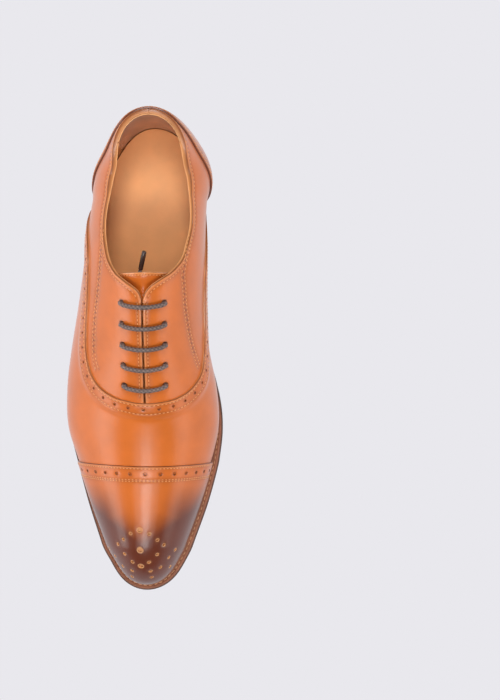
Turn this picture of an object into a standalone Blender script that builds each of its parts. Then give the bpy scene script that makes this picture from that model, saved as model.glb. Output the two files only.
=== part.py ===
"""Leather cap-toe oxford shoe, right foot, built as the separate pieces a shoemaker would cut.

Frame: metres, +Z up, the toe points along -Y, the heel along +Y, the inner (medial) side is +X.
The shoe stands on z = 0 and the origin is the bottom centre of its box.

Every upper piece lies on one analytic last (the foot-shaped form). A place on the last has two
chart numbers: a, the distance along the shoe in mm, and g, the signed girth, from -1 at the
lateral feather edge over 0 on the ridge to +1 at the medial feather edge. Layers are offsets
along the last's normal, so neighbouring pieces never meet.
"""
import math

from functools import lru_cache

import bmesh
import bpy
import numpy as np
from mathutils import Matrix, Vector

MM = 0.001

# ---------------------------------------------------------------- driving dimensions, in mm
TOE_A = -118.0          # centre of the round toe: in front of it sections fan about one axis
HEEL_A = 108.0          # centre of the round heel, likewise
TOE_ARC = 27.0          # length of chart per radian round the toe
HEEL_ARC = 38.0
A_TOE_END = TOE_A - TOE_ARC * math.pi / 2
A_HEEL_END = HEEL_A + HEEL_ARC * math.pi / 2

# a, ridge x, feather lateral x, feather medial x, widest lateral x, widest medial x, ridge z,
# fullness of the top lateral, medial, rise of the wall, lift of the top handle
SECTIONS = (
    (-118, 1.5, -19.8, 22.0, -20.9, 22.9, 45.5, 12, 12, 13, 0),
    (-93, 2.3, -29.0, 30.9, -30.0, 31.9, 50.5, 17, 17, 15, 0),
    (-67, 3.2, -37.4, 38.4, -38.4, 39.4, 56.5, 21, 21, 16, 0),
    (-45, 3.8, -43.6, 42.8, -44.8, 44.0, 63.5, 22, 22, 18, 0),
    (-21, 4.0, -44.0, 41.0, -45.2, 43.0, 73.5, 19, 19, 20, 0),
    (4, 4.0, -41.0, 34.0, -42.0, 39.0, 85.0, 16, 16, 22, 0),
    (29, 4.2, -36.5, 27.5, -37.5, 37.4, 96.0, 15, 17, 24, 0),
    (54, 5.0, -31.5, 27.0, -33.6, 37.3, 102.0, 15, 20, 24, 0),
    (84, 6.8, -26.5, 31.5, -29.6, 37.8, 99.0, 15, 20, 22, -3),
    (108, 7.6, -22.0, 35.5, -25.4, 39.0, 97.0, 12, 14, 22, -4),
)
# half width, widest half width, feather z, ridge z, fullness, rise, handle z at the two ends
TOE_SECTION = (22.4, 23.6, 0.0, 45.5, 11.0, 12.0, 43.0)
HEEL_SECTION = (34.6, 37.3, 0.0, 150.0, 43.0, 25.0, 120.0)
HEEL_TAPER = 2.0        # how far the heel is narrower than an ellipse, half way round

# feather edge height along the shoe: toe spring, ball, waist, heel seat
FEATHER_Y = (-152, -135, -118, -93, -67, -45, -21, 4, 29, 54, 84, 108, 152)
FEATHER_Z = (17.6, 14.4, 11.8, 9.2, 8.0, 8.0, 8.7, 11.0, 15.4, 21.8, 28.4, 30.2, 30.6)

# layers: inner and outer offset from the last
LINING = (0.0, 0.7)
MIDDLE = (1.25, 1.95)
UPPER = (1.35, 2.35)
VAMP = (1.8, 2.5)
LAPPED = (2.85, 3.85)
OVER_COUNTER = (2.5, 3.5)
COVER = (4.05, 5.05)
TONGUE = (-5.5, -4.5)
TONGUE_LINING = (-6.5, -5.8)
TO_ORIGIN = (0.106, -0.127, 0.043)   # puts the bottom centre of the box on the origin
TOUCH = 0.35            # gap between pieces that touch

# bottom, measured down from the feather edge
WELT_THICK = 3.0
OUTSOLE_THICK = 4.6
WELT_REACH = 5.6        # welt edge beyond the last's feather edge
WAIST_REACH = 4.4
WIDER_A = (A_TOE_END, TOE_A, -93.0, -67.0, -45.0, -21.0)    # where the welt stands out further
WIDER_LATERAL = (4.2, 3.3, 2.5, 1.2, 0.0, 0.0)
WIDER_MEDIAL = (4.2, 4.1, 4.2, 3.7, 1.4, 0.0)
INSOLE_THICK = 2.2
SOCK_THICK = 1.0
HEEL_BREAST = 86.0
TOP_PIECE = 6.5
LIFTS = 3
HEEL_TAPER_DOWN = 2.2   # how much narrower the heel is on the ground, each side

# lacing
ROWS = 5
ROW_FIRST = -17.0
ROW_STEP = 12.25
HOLE_REACH = 11.2       # plan distance of a lace hole from the slit
LACE_R = 1.35
HOLE_R = 1.9
BARREL_R = 2.1
STAY_HOLE_R = 2.45
AGLET_LENGTH = 12.0
AGLET_R = 1.45


# ---------------------------------------------------------------- the last
def hermite(xs, values, x):
    """Smooth curve through a few stations, held flat past its ends."""
    xs = np.asarray(xs, float)
    values = np.asarray(values, float)
    slopes = np.gradient(values, xs)
    x = min(max(x, xs[0]), xs[-1])
    i = min(max(int(np.searchsorted(xs, x, side="right")) - 1, 0), len(xs) - 2)
    step = xs[i + 1] - xs[i]
    s = (x - xs[i]) / step
    return ((2 * s**3 - 3 * s**2 + 1) * values[i] + (s**3 - 2 * s**2 + s) * step * slopes[i]
            + (3 * s**2 - 2 * s**3) * values[i + 1] + (s**3 - s**2) * step * slopes[i + 1])


STATION_A = [row[0] for row in SECTIONS]
COLUMNS = list(zip(*SECTIONS))


def station(column, a):
    return hermite(STATION_A, COLUMNS[column], a)


def feather_z(y):
    return hermite(FEATHER_Y, FEATHER_Z, y)


@lru_cache(maxsize=None)
def plain_section(a, side):
    """Half width, widest half width, feather z, ridge z, fullness, rise and handle z."""
    ridge_x = station(1, a)
    if side < 0:
        width, widest, full = ridge_x - station(2, a), ridge_x - station(4, a), station(7, a)
    else:
        width, widest, full = station(3, a) - ridge_x, station(5, a) - ridge_x, station(8, a)
    ridge_z = station(6, a)
    return np.array([width, widest, 0.0, ridge_z, full, station(9, a), ridge_z + station(10, a)])


@lru_cache(maxsize=None)
def section_at(a, side):
    """Base point in plan, direction in plan, and the section there."""
    nudge = 0.5
    if a < TOE_A:
        turn = min((TOE_A - a) / TOE_ARC, math.pi / 2)
        start = plain_section(TOE_A, side)
        change = (plain_section(TOE_A + nudge, side) - start) / nudge
        keep = math.cos(turn) ** 2
        section = start * keep + np.array(TOE_SECTION) * (1 - keep)
        section -= change * start[0] * math.sin(turn) * keep * np.array([1, 1, 0, 0, 1, 1, 0])
        section[6] = start[3] - change[3] * section[4] * math.sin(turn)
        section[3] = start[3]
        base = (station(1, TOE_A), TOE_A)
        direction = (side * math.cos(turn), -math.sin(turn))
    elif a > HEEL_A:
        turn = min((a - HEEL_A) / HEEL_ARC, math.pi / 2)
        start = plain_section(HEEL_A, side)
        change = (start - plain_section(HEEL_A - nudge, side)) / nudge
        keep = math.cos(turn) ** 2
        section = start * keep + np.array(HEEL_SECTION) * (1 - keep)
        section += change * start[0] * math.sin(turn) * keep
        section[:2] -= HEEL_TAPER * math.sin(2 * turn) ** 2
        base = (station(1, HEEL_A), HEEL_A)
        direction = (side * math.cos(turn), math.sin(turn))
    else:
        section = plain_section(a, side)
        base = (station(1, a), a)
        direction = (side, 0.0)
    section[2] = feather_z(base[1] + direction[1] * section[0])
    return base, direction, section


def last_point(a, side, t):
    """Point of the last's surface: t runs from 0 at the feather edge to 1 on the ridge."""
    base, direction, (width, widest, low, high, full, rise, handle) = section_at(a, side)
    bulge = (widest - 0.8438 * width - 0.1406 * full) / 0.4219
    s = 1 - t
    reach = s**3 * width + 3 * s * s * t * (width + bulge) + 3 * s * t * t * full
    z = s**3 * low + 3 * s * s * t * (low + rise) + 3 * s * t * t * handle + t**3 * high
    return np.array([base[0] + direction[0] * reach, base[1] + direction[1] * reach, z])


def last_normal(a, side, t):
    if t > 0.999:
        y = min(max(a, TOE_A), HEEL_A)
        along = np.array([station(1, y + 0.5) - station(1, y - 0.5), 1.0,
                          station(6, y + 0.5) - station(6, y - 0.5)])
        normal = np.cross((1.0, 0.0, 0.0), along)
    else:
        a0, a1 = max(a - 0.25, A_TOE_END), min(a + 0.25, A_HEEL_END)
        t0, t1 = max(t - 0.004, 0.0), min(t + 0.004, 0.9999)
        along = last_point(a1, side, t) - last_point(a0, side, t)
        up = last_point(a, side, t1) - last_point(a, side, t0)
        normal = np.cross(along, up) * side
    return normal / np.linalg.norm(normal)


@lru_cache(maxsize=None)
def lowest_t(a, side, offset):
    """The t at which a layer's lower edge stands clear of the welt."""
    low, high = 0.0, 0.2
    for _ in range(24):
        t = (low + high) / 2
        point = last_point(a, side, t) + last_normal(a, side, t) * offset
        if point[2] < feather_z(point[1]) + TOUCH:
            low = t
        else:
            high = t
    return high


def surface(a, g, offset):
    """Point in mm at chart place (a, g), offset mm outside the last."""
    side = -1 if g < 0 else 1
    t = 1 - abs(g)
    if t < 0.6:
        t += lowest_t(round(float(a), 4), side, round(float(offset), 4)) * (1 - t) ** 6
    return last_point(a, side, t) + last_normal(a, side, t) * offset


def girth_at_reach(a, side, reach):
    """The g whose point on the last lies this far from the ridge in plan."""
    low, high = 0.3, 1.0
    ridge_x = station(1, a)
    for _ in range(40):
        middle = (low + high) / 2
        if abs(last_point(a, side, middle)[0] - ridge_x) > reach:
            low = middle
        else:
            high = middle
    return side * (1 - low)


TOE_COLUMNS = ([-70.0, -78.0, -86.5, -95.0, -103.0, -111.0, TOE_A]
               + [TOE_A - TOE_ARC * math.pi / 2 * k / 7 for k in range(1, 8)])
TOE_ROWS = (0, 0.1, 0.22, 0.35, 0.48, 0.61, 0.74, 0.86, 0.94, 1.0)


# ---------------------------------------------------------------- mesh helpers
def material(name, colour, roughness, metallic=0.0):
    found = bpy.data.materials.get(name)
    if found:
        return found
    made = bpy.data.materials.new(name)
    made.use_nodes = True
    shader = made.node_tree.nodes["Principled BSDF"]
    shader.inputs["Base Color"].default_value = (*colour, 1.0)
    shader.inputs["Roughness"].default_value = roughness
    shader.inputs["Metallic"].default_value = metallic
    return made


def add_object(name, points, faces, finish, smooth=True):
    """Object from points in mm and faces, with every face turned outwards."""
    mesh = bpy.data.meshes.new(name)
    mesh.from_pydata([Vector(p) * MM for p in points], [], faces)
    shape = bmesh.new()
    shape.from_mesh(mesh)
    bmesh.ops.recalc_face_normals(shape, faces=shape.faces)
    shape.to_mesh(mesh)
    shape.free()
    mesh.materials.append(finish)
    if smooth:
        mesh.shade_smooth()
        mesh.set_sharp_from_angle(angle=math.radians(35))
    made = bpy.data.objects.new(name, mesh)
    bpy.context.collection.objects.link(made)
    return made


def catmull(points, per_span):
    """Smooth curve through the points, with per_span pieces between neighbours."""
    points = [np.array(p, float) for p in points]
    ends = [2 * points[0] - points[1]] + points + [2 * points[-1] - points[-2]]
    out = []
    for i in range(1, len(ends) - 2):
        p0, p1, p2, p3 = ends[i - 1:i + 3]
        for k in range(per_span):
            s = k / per_span
            out.append(0.5 * (2 * p1 + (p2 - p0) * s + (2 * p0 - 5 * p1 + 4 * p2 - p3) * s**2
                              + (3 * p1 - p0 - 3 * p2 + p3) * s**3))
    out.append(points[-1])
    return out


class PointPool:
    """Shares points that coincide, so a grid may fold onto its own ridge or pole."""

    def __init__(self, near=0.02):
        self.near = near
        self.cells = {}
        self.points = []

    def index(self, point):
        home = tuple(int(math.floor(c / self.near)) for c in point)
        for dx in (-1, 0, 1):
            for dy in (-1, 0, 1):
                for dz in (-1, 0, 1):
                    for i in self.cells.get((home[0] + dx, home[1] + dy, home[2] + dz), ()):
                        if np.linalg.norm(self.points[i] - point) < self.near:
                            return i
        self.points.append(point)
        self.cells.setdefault(home, []).append(len(self.points) - 1)
        return len(self.points) - 1


def shell(name, grid, layer, finish):
    """Closed piece of leather from a grid of chart places.

    layer is (inner, outer), or a function of column and row that gives them.
    """
    pool = PointPool()
    keys, inner, outer = [], {}, {}
    for i, column in enumerate(grid):
        row_keys = []
        for j, (a, g) in enumerate(column):
            low, high = layer(i, j) if callable(layer) else layer
            key = pool.index(surface(a, g, 0.0))
            if key not in inner:
                inner[key] = surface(a, g, low)
                outer[key] = surface(a, g, high)
            row_keys.append(key)
        keys.append(row_keys)
    count = len(pool.points)
    top, edges = [], {}
    for i in range(len(keys) - 1):
        for j in range(len(keys[0]) - 1):
            corners = []
            for key in (keys[i][j], keys[i + 1][j], keys[i + 1][j + 1], keys[i][j + 1]):
                if key not in corners:
                    corners.append(key)
            if len(corners) < 3:
                continue
            top.append(corners)
            for k, key in enumerate(corners):
                other = corners[(k + 1) % len(corners)]
                edges[(key, other)] = edges.get((key, other), 0) + 1
    faces = [[key + count for key in face] for face in top] + [face[::-1] for face in top]
    for (key, other) in edges:
        if (other, key) not in edges:
            faces.append([key, other, other + count, key + count])
    points = [inner[k] for k in range(count)] + [outer[k] for k in range(count)]
    return add_object(name, points, faces, finish)


def ruled(pairs, per_span, rows):
    """Grid between two curves: pairs of chart places (a, g, a, g), rows across."""
    columns = catmull(pairs, per_span)
    return [[(c[0] + (c[2] - c[0]) * v, c[1] + (c[3] - c[1]) * v) for v in rows] for c in columns]


def wrapped(back_edge, ts, rear_steps):
    """Grid that runs forward on the lateral side, round the toe and back on the medial side.

    back_edge(t, side) gives a where the piece ends. All such pieces share TOE_COLUMNS, so their
    facets lie parallel; rear_steps columns fill the way from the first of these to the edge.
    """
    def column(share, a, side):
        return [(back_edge(t, side) + (a - back_edge(t, side)) * share, side * (1 - t))
                for t in ts]
    front = [a for a in TOE_COLUMNS if a < back_edge(0.5, 1) - 2.0]
    marks = [(k / rear_steps, front[0]) for k in range(rear_steps)] + [(1.0, a) for a in front]
    return [column(s, a, -1) for s, a in marks] + [column(s, a, 1) for s, a in marks[-2::-1]]


def cut(target, cutters):
    """Exact Boolean difference, applied, for a list of cutter objects that stay hidden."""
    for cutter in cutters:
        cutter.hide_render = True
        cutter.display_type = "WIRE"
        modifier = target.modifiers.new("cut", "BOOLEAN")
        modifier.operation = "DIFFERENCE"
        modifier.solver = "EXACT"
        modifier.object = cutter


def turned(name, profile, sides, finish, place):
    """Closed ring turned about its own z axis from a profile of (radius, height) in mm."""
    points, faces = [], []
    for k in range(sides):
        angle = 2 * math.pi * k / sides
        points += [(r * math.cos(angle), r * math.sin(angle), z) for r, z in profile]
    n = len(profile)
    for k in range(sides):
        nxt = (k + 1) % sides
        for j in range(n):
            m = (j + 1) % n
            faces.append([k * n + j, nxt * n + j, nxt * n + m, k * n + m])
    made = add_object(name, points, faces, finish)
    made.matrix_world = place
    return made


def cylinder(name, radius, low, high, sides, finish, place):
    """Closed cylinder along its own z axis, in mm."""
    points = [(radius * math.cos(2 * math.pi * k / sides), radius * math.sin(2 * math.pi * k / sides), z)
              for z in (low, high) for k in range(sides)]
    faces = [[k, (k + 1) % sides, sides + (k + 1) % sides, sides + k] for k in range(sides)]
    faces += [list(range(sides))[::-1], list(range(sides, 2 * sides))]
    made = add_object(name, points, faces, finish)
    made.matrix_world = place
    return made


def frame_on(point, normal):
    """Matrix in metres whose origin is the point and whose z axis is the normal."""
    turn = Vector(normal).to_track_quat("Z", "Y").to_matrix().to_4x4()
    return Matrix.Translation(Vector(point) * MM) @ turn


# ---------------------------------------------------------------- finishes
TAN = material("tan_leather", (0.56, 0.19, 0.065), 0.42)
DARK_TAN = material("burnished_leather", (0.30, 0.10, 0.045), 0.38)
CALF = material("lining_leather", (0.66, 0.36, 0.17), 0.6)
SUEDE = material("suede", (0.42, 0.21, 0.10), 0.9)
BOARD = material("leather_board", (0.45, 0.30, 0.18), 0.8)
CORK = material("cork", (0.42, 0.27, 0.15), 0.95)
STEEL = material("steel", (0.55, 0.55, 0.56), 0.35, 1.0)
BRASS = material("brass", (0.72, 0.52, 0.22), 0.35, 1.0)
SOLE = material("sole_leather", (0.20, 0.09, 0.045), 0.55)
RUBBER = material("rubber", (0.03, 0.027, 0.025), 0.8)
CORD = material("waxed_cord", (0.115, 0.09, 0.085), 0.6)
TIP = material("lace_tip", (0.05, 0.035, 0.03), 0.3)

# ---------------------------------------------------------------- outlines of the upper pieces
# Wing and U edge of the vamp, then its outer edge: (a, t) on the edge, (a, t) on the outside.
WING_LATERAL = (
    (92, 0.10, 94, 0), (84, 0.21, 86, 0), (74, 0.31, 76, 0), (63, 0.38, 63, 0),
    (50, 0.42, 50, 0), (36, 0.44, 36, 0), (20, 0.455, 20, 0), (5, 0.48, 3, 0),
    (-7, 0.53, -13, 0), (-15, 0.595, -29, 0), (-20.5, 0.67, -46, 0), (-24, 0.75, -60, 0),
    (-25.1, 0.79, -68, 0), (-25.8, 0.83, -75, 0), (-26.8, 0.90, -75, 0.36), (-27.3, 0.95, -75, 0.70),
)
WING_MEDIAL = (
    (90, 0.10, 92, 0), (82, 0.16, 84, 0), (73, 0.225, 75, 0), (62, 0.30, 62, 0),
    (49, 0.355, 49, 0), (34, 0.365, 34, 0), (18, 0.36, 18, 0), (3, 0.385, 1, 0),
    (-9, 0.45, -15, 0), (-16.5, 0.54, -31, 0), (-21.8, 0.635, -47, 0), (-25, 0.73, -61, 0),
    (-25.9, 0.775, -68.5, 0), (-26.6, 0.82, -75, 0), (-27.2, 0.90, -75, 0.36), (-27.5, 0.95, -75, 0.70),
)
U_CENTRE = (-27.5, 0.0, -75.0, 0.0)
LAP = 8.5               # width of the vamp that lies over the quarters
LAP_RAMP = 4.0          # width over which it comes down beside them

# Quarters: lower edge (a, t), hidden under the vamp or on the feather edge, and upper edge.
SLIT_T = 0.9925
QUARTER_LATERAL = (
    (-34.3, 0.985, -33, SLIT_T), (-34, 0.90, -29, SLIT_T), (-32, 0.79, -24, SLIT_T),
    (-28, 0.66, -18, SLIT_T), (-21, 0.555, -10, SLIT_T), (-11, 0.475, -1, SLIT_T),
    (3, 0.42, 8, SLIT_T), (18, 0.395, 18, SLIT_T), (32, 0.375, 27, SLIT_T),
    (43, 0.36, 34, SLIT_T), (50, 0.35, 38, 0.958), (56, 0.338, 41.2, 0.893), (62, 0.32, 44, 0.825),
    (66, 0.302, 46.6, 0.77),
    (70, 0.28, 49.5, 0.72), (77, 0.22, 57, 0.64), (84, 0.14, 67, 0.585),
    (89, 0.07, 77, 0.55), (93.5, 0, 86, 0.54), (100, 0, 96, 0.548), (108, 0, 107, 0.562),
    (117, 0, 117, 0.575), (126, 0, 126, 0.575), (133, 0, 133, 0.565), (140, 0, 140, 0.55),
    (147, 0, 147, 0.535), (153, 0, 153, 0.525), (160, 0, 160, 0.518),
    (A_HEEL_END - 0.25, 0, A_HEEL_END - 0.25, 0.515),
)
QUARTER_MEDIAL = (
    (-34.3, 0.985, -33, SLIT_T), (-34, 0.90, -29, SLIT_T), (-32.4, 0.78, -24, SLIT_T),
    (-29, 0.635, -18, SLIT_T), (-22.5, 0.495, -10, SLIT_T), (-13, 0.39, -1, SLIT_T),
    (1, 0.325, 8, SLIT_T), (17, 0.305, 18, SLIT_T), (31, 0.305, 27, SLIT_T),
    (43, 0.29, 34, SLIT_T), (50, 0.277, 38, 0.967), (56, 0.26, 41.5, 0.92),
    (61, 0.24, 44.3, 0.865), (65.5, 0.216, 47.3, 0.80),
    (70, 0.19, 50.5, 0.74), (77, 0.14, 58, 0.65), (83, 0.085, 68, 0.60),
    (87.5, 0.045, 77, 0.56), (91.5, 0, 86, 0.543), (99, 0, 96, 0.545), (107, 0, 107, 0.558),
    (117, 0, 117, 0.57), (126, 0, 126, 0.572), (133, 0, 133, 0.565), (140, 0, 140, 0.55),
    (147, 0, 147, 0.535), (153, 0, 153, 0.525), (160, 0, 160, 0.518),
    (A_HEEL_END - 0.25, 0, A_HEEL_END - 0.25, 0.515),
)
STAY_REACH = 20.0       # width of the facing stay beside the slit


def topline_t(a, side):
    """t of the topline at a, from the upper edge of the quarter's outline."""
    rows = QUARTER_LATERAL if side < 0 else QUARTER_MEDIAL
    tops = [(row[2], row[3]) for row in rows if row[2] >= 34]
    return float(np.interp(a, [p[0] for p in tops], [p[1] for p in tops]))


def signed(rows, side):
    """Turns (a, t, a, t) rows into chart pairs on one side."""
    return [(a0, side * (1 - t0), a1, side * (1 - t1)) for a0, t0, a1, t1 in rows]


# ---------------------------------------------------------------- upper
def make_vamp():
    pairs = signed(WING_LATERAL, -1) + [U_CENTRE] + signed(WING_MEDIAL, 1)[::-1]
    columns = [np.clip(c, (-999, -1, -999, -1), (999, 1, 999, 1)) for c in catmull(pairs, 2)]
    near = (0.0, 0.5, 1.0, 1.25, 1.5)
    far = (0.22, 0.42, 0.6, 0.77, 0.9, 1.0)
    grid, depth = [], []
    for c in columns:
        start, end = surface(c[0], c[1], 0.0), surface(c[2], c[3], 0.0)
        length = float(np.linalg.norm(end - start)) * 1.05
        marks = [min(n * LAP, length * k / (len(near) + len(far) - 1)) if k else 0.0
                 for k, n in enumerate(near)]
        marks += [marks[-1] + (length - marks[-1]) * share for share in far]
        shares = [mark / length for mark in marks]
        grid.append([(c[0] + (c[2] - c[0]) * v, c[1] + (c[3] - c[1]) * v) for v in shares])
        depth.append(marks)

    def layer(i, j):
        share = min(max((depth[i][j] - LAP) / LAP_RAMP, 0.0), 1.0)
        return tuple(LAPPED[k] + (VAMP[k] - LAPPED[k]) * share for k in (0, 1))
    return shell("vamp", grid, layer, TAN)


def make_quarter(name, rows, side):
    grid = ruled(signed(rows, side), 1, [0, 0.1, 0.22, 0.35, 0.48, 0.61, 0.74, 0.87, 1.0])

    def layer(i, j):
        share = min(max((grid[i][j][0] - 95.0) / 10.0, 0.0), 1.0)
        return tuple(UPPER[k] + (OVER_COUNTER[k] - UPPER[k]) * share for k in (0, 1))
    made = shell(name, grid, layer, TAN)
    return made


def cap_edge(t, side):
    return -67.0 - 0.6 * side * (1 - t)


def make_toe_cap():
    grid = wrapped(cap_edge, TOE_ROWS, 1)
    return shell("toe_cap", grid, LAPPED, DARK_TAN)


def make_toe_puff():
    grid = wrapped(lambda t, side: -80.0, TOE_ROWS, 1)
    return shell("toe_puff", grid, UPPER, BOARD)


def lining_edge(t, side):
    """Back edge of the vamp lining: across the instep, then back along the sides."""
    return -30.5 + 60.0 * max(0.0, (1 - t - 0.42) / 0.58)


def make_vamp_lining():
    grid = wrapped(lining_edge, TOE_ROWS, 6)
    return shell("vamp_lining", grid, LINING, CALF)


def make_facing_stay(name, side):
    """Strip under the lace holes, along the slit."""
    rows = []
    for a in (-27, -20, -12, -4, 4, 12, 20, 28, 33.5):
        rows.append((a, girth_at_reach(a, side, STAY_REACH), a, side * (1 - SLIT_T)))
    return shell(name, ruled(rows, 1, [0, 0.25, 0.5, 0.75, 1.0]), LINING, CALF)


def make_quarter_lining(name, side):
    """From the vamp lining and the facing stay back to the heel grip."""
    gap = 0.6
    rows = []
    for a in (-24, -16, -8, 1, 10, 20, 29.5 + gap):
        top = girth_at_reach(a, side, STAY_REACH + gap)
        low = min(0.42 + 0.58 * (a + 30.5 - gap) / 60.0 - gap / 90.0, 1.0)
        rows.append((a, side * low, a, top))
    for a in (35, 40, 44, 47.5, 51, 55, 61, 69, 80, 92, 104, 116, 128, 138.5):
        t_top = topline_t(max(a, 34), side) - 0.012
        if a < 50:
            t_top = min(t_top, 1 - abs(girth_at_reach(a, side, STAY_REACH + gap)))
        rows.append((a, side * 1.0, a, side * (1 - t_top)))
    return shell(name, ruled(rows, 1, [0, 0.12, 0.26, 0.42, 0.58, 0.72, 0.86, 1.0]), LINING, CALF)


def make_heel_grip():
    def column(a, side):
        top = topline_t(a, side) - 0.004
        return [(a, side * (1 - (0.05 + (top - 0.05) * v))) for v in (0, 0.2, 0.4, 0.6, 0.8, 1.0)]
    steps = [139.2 + (A_HEEL_END - 139.2) * k / 5 for k in range(6)]
    grid = [column(a, -1) for a in steps] + [column(a, 1) for a in steps[-2::-1]]
    return shell("heel_grip_lining", grid, LINING, SUEDE)


def make_counter_stiffener():
    def column(a, side):
        top = 0.40 - 0.16 * max(0.0, (126 - a) / 20.0)
        return [(a, side * (1 - (0.05 + (top - 0.05) * v))) for v in (0, 0.25, 0.5, 0.75, 1.0)]
    steps = [106 + (A_HEEL_END - 106) * k / 10 for k in range(11)]
    grid = [column(a, -1) for a in steps] + [column(a, 1) for a in steps[-2::-1]]
    return shell("counter_stiffener", grid, MIDDLE, BOARD)


COUNTER_EDGE = ((97, 0.0), (101, 0.10), (107, 0.20), (116, 0.30), (127, 0.385), (138, 0.44), (147, 0.49))


def make_counter_cover():
    """Outer heel piece: it sweeps from the topline at the back down to the feather edge."""
    edge = catmull(COUNTER_EDGE, 2)
    tops = [tuple(p) for p in edge] + [(152.5, 0.515), (158, 0.516), (163, 0.512)]
    tops.append((A_HEEL_END, 0.508))

    def column(a, top, side):
        return [(a, side * (1 - top * v)) for v in (0, 0.18, 0.38, 0.58, 0.8, 1.0)]
    tops[0] = (96.5, 0.06)
    grid = [column(a, top, -1) for a, top in tops] + [column(a, top, 1) for a, top in tops[-2::-1]]
    return shell("heel_counter_cover", grid, COVER, DARK_TAN)


TONGUE_ROWS = ((-38, 14), (-33, 15), (-27, 16.5), (-20, 17.5), (-10, 18), (0, 18.5), (10, 19),
               (20, 19), (30, 19.5), (38, 20), (45, 20.5), (49, 19))


def make_tongue(name, layer, shrink, finish):
    """Tongue leather or its lining: under the facings, sewn at its front end."""
    columns = []
    for a, reach in TONGUE_ROWS:
        left = girth_at_reach(a, -1, reach - shrink)
        right = girth_at_reach(a, 1, reach - shrink)
        columns.append([(a, left + (right - left) * v) for v in np.linspace(0, 1, 11)])

    def lifted(i, j):
        a = columns[i][j][0]
        rise = 4.0 * min(max((-27 - a) / 11.0, 0.0), 1.0)
        rise += 3.0 * min(max((a - 38) / 11.0, 0.0), 1.0)
        return layer[0] + rise, layer[1] + rise
    return shell(name, columns, lifted, finish)


# ---------------------------------------------------------------- lacing
def hole_place(row, side):
    """Chart place of a lace hole; row 0 is nearest the toe."""
    a = ROW_FIRST + ROW_STEP * row
    return a, girth_at_reach(a, side, HOLE_REACH)


def hole_frame(row, side):
    a, g = hole_place(row, side)
    return frame_on(surface(a, g, 0.0), last_normal(a, side, 1 - abs(g)))


def make_eyelets_and_holes(quarters, stays):
    profile = [(1.72, -0.85), (3.0, -0.85), (3.0, -0.45), (BARREL_R, -0.45), (BARREL_R, 0.7), (1.72, 0.7)]
    for side, label in ((-1, "lateral"), (1, "medial")):
        for row in range(ROWS):
            place = hole_frame(row, side)
            turned(f"eyelet_{label}_{row + 1}", profile, 14, BRASS, place)
            big = cylinder(f"cut_stay_{label}_{row}", STAY_HOLE_R, -0.6, 1.0, 14, BRASS, place)
            small = cylinder(f"cut_hole_{label}_{row}", HOLE_R, 0.95, 4.0, 14, BRASS, place)
            cut(stays[side], [big])
            cut(quarters[side], [small])


def on_hole(row, side, heights):
    a, g = hole_place(row, side)
    return [surface(a, g, h) for h in heights]


def beside(row, side, outward, along, height):
    """Point near a hole: moved away from the slit and towards the heel, in mm."""
    a = ROW_FIRST + ROW_STEP * row + along
    return surface(a, girth_at_reach(a, side, HOLE_REACH + outward), height)


BAR = 4.5
UNDER = -2.7


def bar(row, start_side):
    """From below one hole, up, across the slit with a little slack, and down the other."""
    s = start_side
    points = on_hole(row, s, (-1.2, 0.6, 2.2, 3.3))
    points.append(beside(row, s, -1.6, -0.1, 4.5))
    for reach, slack in ((8.0, -1.0), (2.5, -2.0)):
        points.append(beside(row, s, reach - HOLE_REACH, slack, BAR))
    for reach, slack in ((2.5, -2.0), (8.0, -1.0)):
        points.append(beside(row, -s, reach - HOLE_REACH, slack, BAR))
    points.append(beside(row, -s, -1.6, -0.1, 4.5))
    return points + on_hole(row, -s, (3.3, 2.2, 0.6, -1.2))


def under_run(row, to_row, side, sideways):
    """Run along the inside of the facing from one hole up to another."""
    a0, a1 = ROW_FIRST + ROW_STEP * row, ROW_FIRST + ROW_STEP * to_row
    points = [beside(row, side, sideways * 0.15, 1.3, UNDER)]
    count = 3 if to_row - row > 1 else 1
    for k in range(count):
        share = (k + 1) / (count + 1)
        shift = sideways * math.sin(math.pi * share) ** 0.4
        points.append(beside(row, side, shift, (a1 - a0) * share, UNDER))
    points.append(beside(to_row, side, sideways * 0.15, -1.3, UNDER))
    return points


def medial_tail():
    """From the top medial hole round the tongue's edge, under it, and out at its end."""
    first = [beside(4, 1, 1.4, 0.1, UNDER), beside(4, 1, 4.0, 0.6, UNDER),
             beside(4, 1, 8.0, 1.2, UNDER)]
    wall = [surface(34.0, 1 - 0.54, -2.7), surface(35.0, 1 - 0.49, -4.2), surface(37.0, 1 - 0.455, -9.5)]
    free = [(14.5, 40.0, 61.5), (8.0, 42.0, 68.0), (3.0, 45.2, 75.0)]
    start, tip = np.array((1.9, 51.4, 79.5)), np.array((4.6, 62.6, 84.0))
    return first + wall + free + [start - (tip - start) * 0.25, start], tip


def lateral_tail():
    """From the fourth lateral hole down the inside of the lateral wall, towards the toe."""
    first = [beside(3, -1, 1.4, -0.1, UNDER), beside(3, -1, 4.0, -0.5, UNDER),
             beside(3, -1, 7.5, -1.5, UNDER)]
    wall = [surface(17.0, -(1 - 0.54), -2.7), surface(12.5, -(1 - 0.47), -3.2),
            surface(5.0, -(1 - 0.41), -3.2), surface(-3.0, -(1 - 0.388), -3.2)]
    start = surface(-9.0, -(1 - 0.38), -3.2)
    tip = surface(-9.0 - AGLET_LENGTH, -(1 - 0.37), -3.4)
    return first + wall + [start - (tip - start) * 0.12, start], tip


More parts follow.
